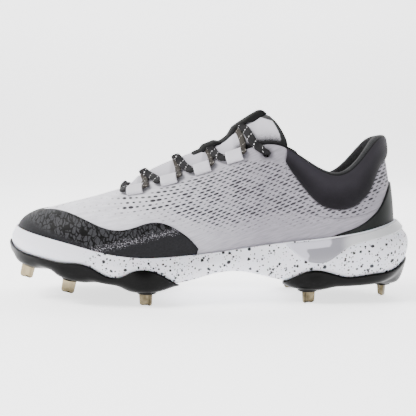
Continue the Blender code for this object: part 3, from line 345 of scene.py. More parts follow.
def shell(outer, inner, last=True):
    """Points and faces between two grids of the same size, bridged along the open edges."""
    rows, columns = outer.shape[:2]
    count = rows * columns
    sheet = quads(rows, columns)
    faces = [sheet, sheet[:, ::-1] + count]
    number = np.arange(count).reshape(rows, columns)
    edges = [number[0], number[::-1, 0], number[:, -1]]
    if last:
        edges.append(number[-1, ::-1])
    for edge in edges:
        a, b = edge[:-1], edge[1:]
        faces.append(np.stack([b, a, a + count, b + count], -1))
    return np.concatenate([outer.reshape(-1, 3), inner.reshape(-1, 3)]), np.concatenate(faces)


def linear(hex_colour):
    """An sRGB hex colour as a linear RGBA value."""
    value = np.array([int(hex_colour[i : i + 2], 16) for i in (1, 3, 5)]) / 255
    found = np.where(value <= 0.04045, value / 12.92, ((value + 0.055) / 1.055) ** 2.4)
    return (*found.tolist(), 1.0)


def node(tree, kind, settings=None, out=0, **links):
    """Adds a node. settings are its properties or its operation; links are values or outputs."""
    made = tree.nodes.new("ShaderNode" + kind)
    settings = {"operation": settings} if isinstance(settings, str) else settings
    for key, value in (settings or {}).items():
        setattr(made, key, value)
    for key, value in links.items():
        key = key.replace("_", " ")
        socket = made.inputs[int(key[1:]) if key[0] == "i" and key[1:].isdigit() else key]
        if isinstance(value, bpy.types.NodeSocket):
            tree.links.new(value, socket)
        else:
            socket.default_value = value
    return made.outputs[out]


def calc(tree, operation, *values):
    """A math node on numbers or outputs."""
    return node(tree, "Math", operation, **{f"i{k}": value for k, value in enumerate(values)})


def graded(tree, value, start=0.0, end=1.0, low=0.0, high=1.0, eased=False):
    """Low where the value is at the start, high at the end, and held outside."""
    kind = {"interpolation_type": "SMOOTHSTEP" if eased else "LINEAR"}
    return node(tree, "MapRange", kind, Value=value, From_Min=start, From_Max=end, To_Min=low,
                To_Max=high)


def noise(tree, place, size, detail, **more):
    """Noise of a size that counts in the units of its place."""
    return node(tree, "TexNoise", Vector=place, Scale=1 / size, Detail=detail, **more)


def mix(tree, share, low, high):
    """A colour from low to high by a share. Each is a hex colour or an output."""
    low, high = (linear(end) if isinstance(end, str) else end for end in (low, high))
    return node(tree, "Mix", {"data_type": "RGBA"}, out=2, i0=share, i6=low, i7=high)


def emboss(tree, shader, height, strength, depth):
    """Puts a relief on a shader, as deep as the given length."""
    bump = node(tree, "Bump", Height=height, Strength=strength, Distance=depth)
    tree.links.new(bump, shader.inputs["Normal"])


def finish_of(name, colour, roughness, **sockets):
    """A material with a Principled shader set to plain values. Returns it, its tree and shader."""
    material = bpy.data.materials.new(name)
    material.use_nodes = True
    shader = material.node_tree.nodes["Principled BSDF"]
    shader.inputs["Base Color"].default_value = linear(colour)
    shader.inputs["Roughness"].default_value = roughness
    for key, value in sockets.items():
        shader.inputs[key.replace("_", " ")].default_value = value
    material.diffuse_color = linear(colour)
    return material, material.node_tree, shader


def top_share(angle):
    """The upper's own top edge: the throat's edge ahead of the collar, tucked below it behind."""
    tucked = split_share(angle) + 0.035
    ramp = smooth((folded(angle) - COLLAR_FRONT + 2.2) / 2.0)
    return np.minimum(tucked + (1 - tucked) * ramp, 1)


BACK_WALL = 1.1 * MM  # the upper thins to this under the collar's cuff
CUFF_TUCK = 1.0 * MM  # and steps in by this


def upper_grid():
    """Closed profile at each angle: margin, outer face, rolled edge and inner face."""
    front = math.radians(COLLAR_FRONT)
    rear = np.linspace(-front, front, 150)
    angle = np.concatenate([rear, np.linspace(front, 2 * math.pi - front, 232)[1:-1]])
    top = top_share(angle)
    behind = smooth((COLLAR_FRONT + 0.5 - folded(angle)) / 1.5)
    wall = UPPER_WALL + (BACK_WALL - UPPER_WALL) * behind
    levels = np.linspace(0, 1, 96)[:, None]
    shares = levels * top
    tuck = CUFF_TUCK * behind * smooth((shares - split_share(angle) + 0.008) / 0.014)
    outer = rib_offset(angle, shares, -tuck)
    facing = normals(rib, angle, shares)
    over_top = np.minimum(top + NUDGE, 1)
    up = unit(rib(angle, over_top) - rib(angle, over_top - 2 * NUDGE))
    turn = np.linspace(0, math.pi, 9)[1:-1, None, None]
    half = wall[:, None] / 2
    roll = outer[-1] - facing[-1] * half * (1 - np.cos(turn)) + up * half * np.sin(turn) * 0.8
    inner = (outer - facing * wall[:, None])[::-4]
    foot, normal = outline(angle, foot_inset(angle))
    height = bed_height(station_of(foot[:, :1])) + GAP
    inner[-1] = np.concatenate([foot - normal * UPPER_WALL, height + UPPER_WALL], -1)
    inset = np.array([1.0, 0.5])[:, None, None] * LASTING_MARGIN
    under = np.concatenate([foot - normal * inset, np.broadcast_to(height, (2, len(angle), 1))], -1)
    over = under[::-1] + np.array([0, 0, UPPER_WALL])
    steps = np.linalg.norm(np.diff(outer[..., 1:], axis=0), axis=-1)
    girth = np.pad(np.cumsum(steps, 0), ((1, 0), (0, 0)))
    grid = np.concatenate([under, outer, roll, inner, over])
    flow = np.zeros(grid.shape[:2] + (2,))
    flow[..., 0] = grid[..., 0] / MM
    flow[2 : 2 + len(outer), :, 1] = girth / MM
    flow[2 + len(outer) :, :, 1] = girth[-1] / MM
    return grid, flow, len(inner) + len(over)


def throat_angle(x, side, share=1.0):
    """The angle of the rib whose point at this share lies at x, on one side of the throat."""
    turn = np.radians(np.linspace(76, 178, 409))
    spots = rib(turn if side < 0 else 2 * math.pi - turn, np.full(409, share))
    found = float(np.interp(-x, -spots[:, 0], turn))
    return np.array(found if side < 0 else 2 * math.pi - found)


def eyestay_frame(station, setback, side):
    """A point on the upper beside the throat, and the axes ahead, down the side and out."""
    angle = throat_angle(x_of(station), side, 1 - setback)
    share = np.array(1 - setback)
    facing = normals(rib, angle, share)
    ahead = unit((rib(angle + 0.02, share) - rib(angle - 0.02, share)) * -side)
    return rib(angle, share), ahead, np.cross(ahead, facing) * side, facing


#   side view in mm: x, top of the slits, foot of the open slits, foot of the faint ones
SLIT_BANDS = [
    (-135, 66, 58, 54), (-100, 82, 66, 58), (-75, 86, 64, 60), (-46, 79, 66, 60),
    (-30, 87, 65, 56), (-12, 92, 59, 52), (5, 97, 55, 47), (25, 105, 57, 48),
    (42, 104, 62, 54), (57, 103, 64, 52), (74, 98, 62, 54), (92, 90, 61, 57),
    (105, 96, 62, 59), (113, 104, 64, 61), (119, 112, 72, 68), (126, 120, 82, 78),
]


def slit_zone(points):
    """How open the slits are: full between the drawn bands, faint below them and at the toe."""
    x, z = points[..., 0] / MM, points[..., 2] / MM
    knots = [row[0] for row in SLIT_BANDS]
    high, low, faint = (np.interp(x, knots, [row[k] for row in SLIT_BANDS]) for k in (1, 2, 3))
    full = smooth((z - low) / 5) * smooth((x + 72) / 20)
    back = 0.45 + 0.55 * smooth((x + 76) / 24)
    return (0.35 * smooth((z - faint) / 7) + 0.65 * full) * back * smooth((high - z) / 6)


grid, flow, rows_inside = upper_grid()
rows, columns = grid.shape[:2]
faces = quads(rows + 1, columns, wrap=True) % (rows * columns)
zone = slit_zone(grid)
zone[-rows_inside:] = -1
maps = [("flow", flow.reshape(-1, 2)), ("zone", zone.ravel())]
upper = put_mesh("upper_shell", grid.reshape(-1, 3), faces, maps)
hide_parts("upper")


# Eyelets: one lace hole a side, punched through the shell below the top of the throat. They have
# no metal ring, so a boolean cuts them, and the knit's material paints a soft shadow round each.
EYELET = (0.362, 0.100)  # station, setback from the throat's edge
EYELET_RADIUS = 2.6 * MM
for side in (-1, 1):
    place, ahead, down, facing = eyestay_frame(*EYELET, side)
    turn = once_round(32)[:, None]
    circle = (np.cos(turn) * ahead + np.sin(turn) * down) * EYELET_RADIUS
    rings = np.array([place + facing * reach * MM + circle * wide for reach, wide in
                      ((5, 0), (5, 1), (-5, 1), (-5, 0))])
    punch = put_mesh("punch", rings.reshape(-1, 3), quads(4, 32, wrap=True))
    cut = upper.modifiers.new("punch", "BOOLEAN")
    cut.operation, cut.object = "DIFFERENCE", punch
    whole = upper.evaluated_get(bpy.context.evaluated_depsgraph_get())
    upper.data = bpy.data.meshes.new_from_object(whole)
    upper.modifiers.clear()
    bpy.data.objects.remove(punch)

# The knit is matt polyester, and a fine rib slanted like the slits gives it a brushed look. The
# slits are up to 3 mm long and open on a dark ground layer. Painted light and shade draw it paler
# towards the toe and darker towards the heel. The flow map counts in millimetres.
SLIT_PITCH, ROW_PITCH = 4.8, 2.3
SLIT_HALF_LENGTH, SLIT_HALF_HEIGHT = 1.6, 0.56
SLIT_SLANT = math.radians(17)
RIB_SPACING = 0.785
CREASE_LOW = (93.0, 61.6)  # x and z of the pressed line's lowest point, in the side view
CREASE_CURVE = 0.00725
material, tree, shader = finish_of("slit polyester knit", "#B4B1B8", 0.85, Sheen_Weight=0.15)
flow_map = node(tree, "UVMap", {"uv_map": "flow"})
tilted = node(tree, "Mapping", Vector=flow_map, Rotation=(0, 0, -SLIT_SLANT))
wander = noise(tree, tilted, 11.1, 1.0)
cells = node(tree, "VectorMath", "MULTIPLY", i0=tilted, i1=(1 / SLIT_PITCH, 1 / ROW_PITCH, 0))
across = node(tree, "SeparateXYZ", Vector=cells)
along = node(tree, "SeparateXYZ", out=1, Vector=cells)
row = calc(tree, "FLOOR", along)
shifted = calc(tree, "MULTIPLY_ADD", row, 0.46, across)
column = calc(tree, "FLOOR", shifted)
u = calc(tree, "SUBTRACT", calc(tree, "FRACT", shifted), 0.5)
v = calc(tree, "SUBTRACT", calc(tree, "FRACT", along), 0.5)
local = node(tree, "CombineXYZ", X=u, Y=v)
stretched = node(tree, "VectorMath", "MULTIPLY", i0=local,
                 i1=(SLIT_PITCH / SLIT_HALF_LENGTH, ROW_PITCH / SLIT_HALF_HEIGHT, 0))
reach = node(tree, "VectorMath", "LENGTH", out="Value", i0=stretched)
slit_number = node(tree, "CombineXYZ", X=column, Y=row)
chance = node(tree, "TexWhiteNoise", {"noise_dimensions": "2D"}, Vector=slit_number)
zone = node(tree, "Attribute", {"attribute_name": "zone"}, out="Fac")
varied = calc(tree, "MULTIPLY_ADD", chance, 0.75, 0.25)
varied = calc(tree, "MULTIPLY_ADD", wander, 0.7, varied)
spread = calc(tree, "POWER", calc(tree, "MAXIMUM", zone, 0.0), 0.45)
size = calc(tree, "MULTIPLY", varied, spread)
size = calc(tree, "MAXIMUM", size, 0.01)
ratio = calc(tree, "DIVIDE", reach, size)
hole = graded(tree, ratio, 1.2, 0.85, eased=True)
openness = graded(tree, zone, end=0.6, low=0.2)
by_size = graded(tree, size, 0.2, 0.6, low=0.4)
openness = calc(tree, "MULTIPLY", openness, by_size)
hole_dark = calc(tree, "MULTIPLY", hole, openness)
rib_wave = node(tree, "TexWave", {"bands_direction": "Y"}, out="Fac", Vector=tilted,
                Scale=math.pi / 10 / RIB_SPACING, Distortion=1.5)
streaks = node(tree, "Mapping", Vector=tilted, Scale=(0.12, 1.0, 1.0))
grain = noise(tree, streaks, 1.11, 3.0)
tint = graded(tree, grain, 0.2, 0.8)
# Mostly painted light and shade: the knit is paler towards the toe and darker towards the heel, as
# the key light from the toe's side would make it.
heel_cloth_painted_shade = mix(tree, tint, "#75727A", "#98949D")
toe_cloth_painted_light = mix(tree, tint, "#C6C4CC", "#E9E8EE")
painted_light_toward_toe = graded(tree, node(tree, "SeparateXYZ", Vector=flow_map), 38.0, -98.0)
cloth = mix(tree, painted_light_toward_toe, heel_cloth_painted_shade, toe_cloth_painted_light)
place = node(tree, "VectorMath", "SCALE", i0=node(tree, "TexCoord", out="Object"), Scale=1 / MM)
x, z = node(tree, "SeparateXYZ", Vector=place), node(tree, "SeparateXYZ", out=2, Vector=place)
# The pressed crease is a real dent in the relief; its darker colour is painted shade in it.
bow = calc(tree, "POWER", calc(tree, "SUBTRACT", x, CREASE_LOW[0]), 2.0)
bow = calc(tree, "MULTIPLY_ADD", bow, CREASE_CURVE, CREASE_LOW[1])
crease_and_painted_shade = calc(tree, "ABSOLUTE", calc(tree, "SUBTRACT", z, bow))
crease_and_painted_shade = graded(tree, crease_and_painted_shade, 0.55, 0.15)
begun = graded(tree, x, 66.0, 76.0, high=0.45)
crease_and_painted_shade = calc(tree, "MULTIPLY", crease_and_painted_shade, begun)
cloth = mix(tree, crease_and_painted_shade, cloth, "#4A474F")
dressed = mix(tree, hole_dark, cloth, "#1E1C21")
# Painted shadow: a soft dark ring round each eyelet, where the lace goes in.
ring = None
for side in (-1, 1):
    centre = tuple(eyestay_frame(*EYELET, side)[0])
    away = node(tree, "VectorMath", "DISTANCE", out="Value",
                i0=node(tree, "TexCoord", out="Object"), i1=centre)
    ring = away if ring is None else calc(tree, "MINIMUM", ring, away)
soft = graded(tree, ring, 6.5 * MM, 3.0 * MM, high=0.6, eased=True)
dressed = mix(tree, soft, dressed, "#2A282D")
lined = graded(tree, zone, -0.1, -0.6)
dressed = mix(tree, lined, dressed, "#2B2B2E")
tree.links.new(dressed, shader.inputs["Base Color"])
relief = calc(tree, "MULTIPLY_ADD", hole, -1.2, rib_wave)
relief = calc(tree, "MULTIPLY_ADD", crease_and_painted_shade, -1.5, relief)
emboss(tree, shader, relief, 0.5, 0.25 * MM)
upper.data.materials.append(material)


# Toe cap and heel counter: thin films of moulded polyurethane, pressed and cemented over the mesh
# round the toe and the back of the heel. The cap has a crackled grain, the counter a plain one.
OVERLAY = 1.0 * MM
OVERLAY_SEAT = 0.05 * MM
OVERLAY_EDGE = 0.25 * MM
#   station, height as a share of INSTEP_HEIGHT, in the side view
CAP_LINE = [
    (0.510, 0.245), (0.540, 0.355), (0.570, 0.425), (0.605, 0.472), (0.640, 0.472),
    (0.675, 0.440), (0.710, 0.424), (0.745, 0.440), (0.790, 0.490), (0.840, 0.533),
    (0.880, 0.540), (0.920, 0.528),
]
COUNTER_LINE = [
    (0.040, 0.770), (0.060, 0.712), (0.080, 0.610), (0.110, 0.510), (0.150, 0.435),
    (0.200, 0.382), (0.222, 0.350),
]


def overlay(name, centre, half_turn, columns, line_rows):
    """Skin between the rim and a drawn line: offset ribs, with edges thinned to a round."""
    angle = centre + np.radians(np.linspace(-half_turn, half_turn, columns))
    low = meet(angle, rim_line) - 0.01
    high = np.maximum(meet(angle, side_line(line_rows)), low + 0.012)
    levels = np.linspace(0, 1, 44)[:, None]
    shares = low + (high - low) * levels
    border = np.minimum((1 - levels) * (high - low) * 90, 1.2) / 1.2
    ends = np.minimum((1 - np.abs(np.linspace(-1, 1, columns))) * half_turn, 1.0)
    thick = OVERLAY * dome(border * ends, 0.02)
    outer = rib_offset(angle, shares, OVERLAY_EDGE + thick)
    inner = rib_offset(angle, shares, OVERLAY_SEAT)
    points, faces = shell(outer, inner)
    flow = np.stack([outer[..., 0], outer[..., 2]], -1).reshape(-1, 2) / MM
    piece = put_mesh(name + "_film", points, faces, [("flow", np.concatenate([flow, flow]))])
    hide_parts(name)
    return piece


cap = overlay("toe_cap", math.pi, 87, 260, CAP_LINE)

# The film is satin, with black cracks between cells about 3 mm across. Behind a slanted drift of
# pale flecks it is plain, and at the toe's tip the cracks fade. The flow map is in millimetres.
CRACKLE_CELL = 2.78
CRACK_WIDTHS = 0.070, 0.130  # over the cell
DRIFT_SLOPE, DRIFT_LEVEL = 0.241, 58.9
material, tree, shader = finish_of("crackled polyurethane film", "#28282B", 0.5,
                                   Specular_IOR_Level=0.08)
flow_map = node(tree, "UVMap", {"uv_map": "flow"})
x = node(tree, "SeparateXYZ", Vector=flow_map)
z = node(tree, "SeparateXYZ", out=1, Vector=flow_map)
above = calc(tree, "MULTIPLY_ADD", x, -DRIFT_SLOPE, -DRIFT_LEVEL)
above = calc(tree, "ADD", above, z)
warp = node(tree, "TexNoise", out="Color", Vector=flow_map, Scale=1 / 2.86,
            Detail=3.0)
bent = node(tree, "VectorMath", "MULTIPLY_ADD", i0=warp, i1=(3.2, 3.2, 0), i2=flow_map)
leaned = node(tree, "Mapping", Vector=bent, Rotation=(0, 0, 0.25), Scale=(1.0, 0.62, 1.0))
cracks = node(tree, "TexVoronoi", {"feature": "DISTANCE_TO_EDGE"}, Vector=leaned,
              Scale=1 / CRACKLE_CELL)
breaks = noise(tree, flow_map, 4.55, 2.0)
width = graded(tree, breaks, 0.35, 0.65, low=CRACK_WIDTHS[0], high=CRACK_WIDTHS[1])
vein = calc(tree, "DIVIDE", cracks, width)
vein = graded(tree, vein, 1.2, 0.75, eased=True)
field = graded(tree, above, -1.0, 3.0)
front = graded(tree, calc(tree, "MULTIPLY_ADD", x, 0.35, z), 9.5, 14.0)
field = calc(tree, "MULTIPLY", field, front)
vein = calc(tree, "MULTIPLY", vein, field)
satin = noise(tree, flow_map, 1.25, 4.0)
plain = mix(tree, satin, "#09090A", "#252528")
cells = mix(tree, satin, "#161618", "#3D3D40")
base = mix(tree, field, plain, cells)
veined = mix(tree, vein, base, "#030303")
drift = calc(tree, "ABSOLUTE", above)
drift = graded(tree, drift, 3.6, 0.4)
specks = noise(tree, flow_map, 0.87, 2.0, Distortion=0.6)
specks = calc(tree, "MULTIPLY_ADD", drift, 0.11, specks)
specks = graded(tree, specks, 0.635, 0.685)
in_drift = calc(tree, "GREATER_THAN", drift, 0.02)
specks = calc(tree, "MULTIPLY", specks, in_drift)
flecked = mix(tree, specks, veined, "#747277")
tree.links.new(flecked, shader.inputs["Base Color"])
relief = calc(tree, "MULTIPLY_ADD", vein, -1.0, satin)
emboss(tree, shader, relief, 0.5, 0.2 * MM)
cap.data.materials.append(material)

counter = overlay("heel_counter", 0.0, 57, 140, COUNTER_LINE)

# The counter is moulded with a fine matt grain, too fine to show if it weren't drawn 0.7 mm wide.
# Its front tip is a blacker tone.
material, tree, shader = finish_of("moulded polyurethane counter", "#131615", 0.5,
                                   Specular_IOR_Level=0.15)
place = node(tree, "TexCoord", out="Object")
x = node(tree, "SeparateXYZ", Vector=place)
inked = graded(tree, x, 100.5 * MM, 101.5 * MM)
two_tone = mix(tree, inked, "#070708", "#131615")
tree.links.new(two_tone, shader.inputs["Base Color"])
grain = noise(tree, place, 0.714 * MM, 2.0)
emboss(tree, shader, grain, 0.25, 0.1 * MM)
counter.data.materials.append(material)


# Collar: a foam-filled cuff of smooth knit round the ankle, sewn to the upper along a seam. A
# ribbed black lining is bound over its topline.
COLLAR_PADDING = 7 * MM
COLLAR_PUFF = 2.6 * MM
COLLAR_EDGE = 2.2 * MM
SEAM_LIP = 0.6 * MM
#   share of the way up, swell outwards over the puff, thickness over the padding
COLLAR_SECTION = [
    (0.00, 0.00, 0.32), (0.12, 0.45, 0.62), (0.30, 0.85, 0.90), (0.52, 1.00, 1.00),
    (0.72, 1.00, 1.00), (0.82, 0.92, 0.95), (0.91, 0.66, 0.84), (0.965, 0.28, 0.68),
    (1.00, -0.35, 0.46),
]


def collar_grids():
    """Outer and inner faces by angle and level: splined swell and depth, rolled at the top."""
    half = COLLAR_FRONT - 0.2
    angle = np.radians(np.linspace(-half, half, 190))
    rolled = 1 - 0.1 * (1 - np.linspace(0, 1, 13)[1:]) ** 2
    levels = np.concatenate([np.linspace(0, 0.9, 44), rolled])[:, None]
    split = split_share(angle) + 0.004
    shares = split + (1 - split) * levels
    full = smooth((half - folded(angle)) / 24)
    swell = read(COLLAR_SECTION, 1, levels) * COLLAR_PUFF
    depth = read(COLLAR_SECTION, 2, levels) * COLLAR_PADDING
    thin = COLLAR_EDGE * (1 - 0.5 * levels**4)
    lip = SEAM_LIP * smooth(levels / 0.03)
    outer = rib_offset(angle, shares, swell * full + lip)
    inner = rib_offset(angle, shares, -(depth * full + thin * (1 - full)))
    middle = (outer[-1] + inner[-1]) / 2
    outer[-1] = inner[-1] = middle + (outer[-1] - outer[-6]) * 0.1
    return angle, levels, outer, inner


angle, levels, outer, inner = collar_grids()
points, faces = shell(outer, inner, last=False)
heights = np.broadcast_to(levels, outer.shape[:2]).ravel()
level = np.concatenate([heights, heights + 1])
collar = put_mesh("collar_cuff", points, faces, [("level", level)])
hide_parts("collar")

# The cuff's knit is brushed and soft, with painted shade low under the puff and painted light
# where the puff turns up. The lining is a coarse black rib, 0.9 mm apart, that starts at a
# pressed line under the topline.
LINING_RIB = 0.87 * MM
LINING_LEVEL = 0.915
material, tree, shader = finish_of("brushed charcoal knit", "#232126", 0.95, Sheen_Weight=0.12,
                                   Sheen_Roughness=0.5, Specular_IOR_Level=0.1)
place = node(tree, "TexCoord", out="Object")
level_at = node(tree, "Attribute", {"attribute_name": "level"}, out="Fac")
nap = noise(tree, place, 0.588 * MM, 3.0)
cloud = noise(tree, place, 11.1 * MM, 2.0)
# Painted shade and light: darker low on the cuff, paler towards the top where the puff turns up.
knit_tone_and_painted_shade = graded(tree, level_at, 0.15, 0.8, high=0.75, eased=True)
knit_tone_and_painted_shade = calc(tree, "MULTIPLY_ADD", cloud, 0.3, knit_tone_and_painted_shade)
knit_tone_and_painted_shade = calc(tree, "MULTIPLY_ADD", nap, 0.35, knit_tone_and_painted_shade)
brushed = mix(tree, knit_tone_and_painted_shade, "#040305", "#262429")
ribs = node(tree, "TexVoronoi", Vector=place, Scale=1 / LINING_RIB)
lining = mix(tree, ribs, "#2C2C2E", "#020202")
lined = graded(tree, level_at, LINING_LEVEL, LINING_LEVEL + 0.015)
line = calc(tree, "COMPARE", level_at, LINING_LEVEL, 0.018)
clothed = mix(tree, lined, brushed, lining)
piped = mix(tree, line, clothed, "#0A0A0B")
tree.links.new(piped, shader.inputs["Base Color"])
relief = node(tree, "Mix", i0=lined, i2=nap, i3=ribs)
relief = calc(tree, "MULTIPLY_ADD", line, -2.0, relief)
emboss(tree, shader, relief, 0.45, 0.25 * MM)
collar.data.materials.append(material)

lining_material, tree, shader = finish_of("black ribbed lining", "#0B0B0C", 0.9,
                                          Specular_IOR_Level=0.1)
ribs = node(tree, "TexVoronoi", Vector=node(tree, "TexCoord", out="Object"), Scale=1 / LINING_RIB)
emboss(tree, shader, ribs, 0.5, 0.3 * MM)


# Topline binding: the collar's black lining runs on ahead as a soft bound edge along the top of
# the throat, and ends behind the last lace loops.
BINDING_RADIUS = 1.15 * MM
BINDING_DROP = 0.9 * MM
BINDING_END = 17 * MM
for side, word in ((-1, "lateral"), (1, "medial")):
    turned = np.radians(np.linspace(COLLAR_FRONT - 6, 128, 90))
    angle = turned if side < 0 else 2 * math.pi - turned
    line = rib_offset(angle, np.ones(90), -BINDING_DROP) + np.array([0, 0, 0.1 * MM])
    keep = line[:, 0] > BINDING_END
    line, angle = line[keep], angle[keep]
    along = unit(np.gradient(line, axis=0))
    out = normals(rib, angle, np.ones(len(angle)))
    out = unit(out - along * (out * along).sum(1, keepdims=True))
    over = np.cross(along, out)
    turn = once_round(14)
    at = np.linspace(-1, 1, len(angle))
    radius = BINDING_RADIUS * np.sqrt(np.clip((1 - np.abs(at)) * 12, 0, 1))[:, None, None]
    spoke = np.cos(turn)[:, None] * out[:, None] + np.sin(turn)[:, None] * over[:, None]
    tube = line[:, None] + radius * spoke
    piece = put_mesh(f"topline_{word}", tube.reshape(-1, 3), quads(len(angle), 14, wrap=True))
    piece.data.materials.append(lining_material)


# Insole: a die-cut foam sock liner with a brushed cloth top, dropped in on the lasting margin.
# It is the floor that shows down the shoe's mouth.
INSOLE_THICKNESS = 4 * MM


def filled_rows(ring, count, height):
    """Rows from a closed ring in to its own centre line: each point moves to its mirror's mean."""
    mirror = np.roll(ring[::-1], 1, axis=0)
    f = np.linspace(0, 1, count + 1)[1:, None, None]
    plan = ring[:, :2] * (1 - f) + (ring + mirror)[:, :2] / 2 * f
    return np.concatenate([plan, height(station_of(plan[..., :1]))], -1)


def insole_layer(rise, inset):
    """A layer of the insole: the foot's edge moved in, at a rise above the bed."""
    angle = once_round(200)
    plan = outline(angle, foot_inset(angle) + UPPER_WALL + inset)[0]
    base = 2.4 * GAP + UPPER_WALL + rise

    def seat(station):
        return bed_height(station) + base

    ring = np.concatenate([plan, seat(station_of(plan[:, :1]))], -1)
    return ring, filled_rows(ring, 14, seat)


low_edge, low_rows = insole_layer(0.2 * MM, 3.6 * MM)
side_edge, _ = insole_layer(INSOLE_THICKNESS * 0.6, 2.8 * MM)
top_edge, top_rows = insole_layer(INSOLE_THICKNESS, 4.2 * MM)
grid = np.concatenate([low_rows[::-1], low_edge[None], side_edge[None], top_edge[None], top_rows])
insole = put_mesh("insole_foam", grid.reshape(-1, 3), quads(len(grid), 200, wrap=True))
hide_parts("insole")
material, tree, shader = finish_of("brushed sock liner cloth", "#3C3C40", 0.95)
weave = node(tree, "TexVoronoi", Vector=node(tree, "TexCoord", out="Object"), Scale=1 / (1.11 * MM))
emboss(tree, shader, weave, 0.3, 0.2 * MM)
insole.data.materials.append(material)


# Midsole: one cup of moulded EVA foam with dark flecks through it. The upper sits inside its rim,
# and the plates are cemented under it.
RIM_WALL = 2.2 * MM
SIDE_TUCK = 8 * MM
UNDER_INSET = 16 * MM
#   share of the height dropped, reach from the rim to the outline, inset over SIDE_TUCK
SIDE = [(0.20, 0.55, 0.00), (0.46, 0.97, 0.00), (0.78, 1.00, 0.22), (0.96, 1.00, 0.75)]
rim_turn = np.linspace(0, 2 * math.pi, 1441)
rim_share = meet(rim_turn, rim_line)
rim_rows = rib_offset(rim_turn, rim_share, GAP + RIM_WALL)


def under_height(station):
    """The foam's underside: its splined stack and arch."""
    arch = read(SOLE_LINES, 4, station) * ARCH_RISE
    return SPIKE_LENGTH + read(SOLE_LINES, 3, station) * FOREFOOT_STACK + arch


def sole_side(angle, share):
    """Side of the foam from the rim (0) to the underside (1): a spline through six rows."""
    angle, share = np.broadcast_arrays(angle, share)
    turned = np.mod(angle, 2 * math.pi)
    rim = np.stack([np.interp(turned, rim_turn, rim_rows[:, k]) for k in range(3)], -1)
    outer, normal = outline(angle)
    inner = outline(angle, np.full(angle.shape, UNDER_INSET))[0]
    height = rim[..., 2:] - under_height(station_of(outer[..., :1]))
    stack = [rim]
    for drop, reach, tuck in SIDE:
        plan = rim[..., :2] + (outer - rim[..., :2]) * reach - normal * tuck * SIDE_TUCK
        stack.append(np.concatenate([plan, rim[..., 2:] - drop * height], -1))
    stack.append(np.concatenate([inner, under_height(station_of(inner[..., :1]))], -1))
    knots = [0.0, 0.2, 0.45, 0.68, 0.85, 1.0]
    return sum(spline(knots, w, share)[..., None] * row for w, row in zip(np.eye(6), stack))


def side_offset(angle, share, distance):
    """The foam's side moved out along its normal."""
    angle, share, distance = np.broadcast_arrays(angle, share, distance)
    return sole_side(angle, share) - normals(sole_side, angle, share) * distance[..., None]


angle = once_round(420)
side = sole_side(angle, np.linspace(0, 1, 64)[:, None])
rim = meet(angle, rim_line)
inner_lip = rib_offset(angle, rim, 1.6 * GAP)
turn = np.linspace(0, math.pi, 9)[1:-1, None, None]
across, mid = (side[0] - inner_lip) / 2, (side[0] + inner_lip) / 2
lip = mid - across * np.cos(turn) + np.array([0, 0, 0.7 * MM]) * np.sin(turn)
inside = rib_offset(angle, rim * np.linspace(0.9, 0.1, 8)[:, None], 1.6 * GAP)
plan = outline(angle, foot_inset(angle) + 3 * MM)[0]
bed = np.concatenate([plan, bed_height(station_of(plan[:, :1])) - GAP], -1)
bed_rows = filled_rows(bed, 6, lambda at: bed_height(at) - GAP)
under_rows = filled_rows(side[-1], 26, under_height)
grid = np.concatenate([bed_rows[::-1], bed[None], inside[::-1], inner_lip[None], lip, side,
                       under_rows])
on_lip = np.zeros(grid.shape[:2])
on_lip[len(bed_rows) + 1 : len(bed_rows) + len(inside) + len(lip) + 4] = 1
midsole = put_mesh("midsole_cup", grid.reshape(-1, 3), quads(len(grid), 420, wrap=True),
                   [("lip", on_lip.ravel())])
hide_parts("midsole")

# The foam is matt white. From the ball back it is flecked with dark chips of three sizes, ground
# into it but not into the lip over the clip. At the toe it has faint drag lines from the mould.
CHIP_START, CLIP_START = -88 * MM, 75 * MM
#   cell in mm, share of the cells with a chip, smallest and largest chip over the cell
CHIPS = [(4.878, 0.90, 0.15, 0.33), (2.941, 0.80, 0.17, 0.34), (1.667, 0.50, 0.17, 0.33)]
material, tree, shader = finish_of("speckled EVA foam", "#DEDEE6", 0.6, Subsurface_Weight=0.1,
                                   Subsurface_Scale=2 * MM)
place = node(tree, "TexCoord", out="Object")
x = node(tree, "SeparateXYZ", Vector=place)
speckled = graded(tree, x, CHIP_START, CHIP_START + 8 * MM)
chips = None
for cell, share, small, large in CHIPS:
    scale = 1 / (cell * MM)
    ragged = node(tree, "TexNoise", out="Color", Vector=place, Scale=scale * 3, Detail=1.0)
    ragged = node(tree, "VectorMath", "MULTIPLY_ADD", i0=ragged, i1=(0.3 / scale,) * 3, i2=place)
    near = node(tree, "TexVoronoi", Vector=ragged, Scale=scale)
    pick = node(tree, "TexVoronoi", out="Color", Vector=ragged, Scale=scale)
    pick = node(tree, "SeparateXYZ", Vector=pick)
    size = graded(tree, pick, end=share, low=large, high=small)
    kept = calc(tree, "LESS_THAN", pick, share)
    size = calc(tree, "MULTIPLY", size, kept)
    near = calc(tree, "SUBTRACT", size, near)
    chip = graded(tree, near, -0.02, 0.03)
    chips = chip if chips is None else calc(tree, "MAXIMUM", chips, chip)
chips = calc(tree, "MULTIPLY", chips, speckled)
off_lip = node(tree, "Attribute", {"attribute_name": "lip"}, out="Fac")
off_lip = calc(tree, "SUBTRACT", 1.0, off_lip)
ahead = calc(tree, "LESS_THAN", x, CLIP_START)
bare = calc(tree, "MAXIMUM", off_lip, ahead)
chips = calc(tree, "MULTIPLY", chips, bare)
foam = mix(tree, chips, "#DEDEE6", "#0C0C12")
tree.links.new(foam, shader.inputs["Base Color"])
drag = node(tree, "Mapping", Vector=place,
            Scale=(1 / (16.7 * MM), 1 / (16.7 * MM), 1 / (2.38 * MM)))
drag = noise(tree, drag, 1.0, 2.0)
emboss(tree, shader, drag, 0.12, 0.6 * MM)
midsole.data.materials.append(material)


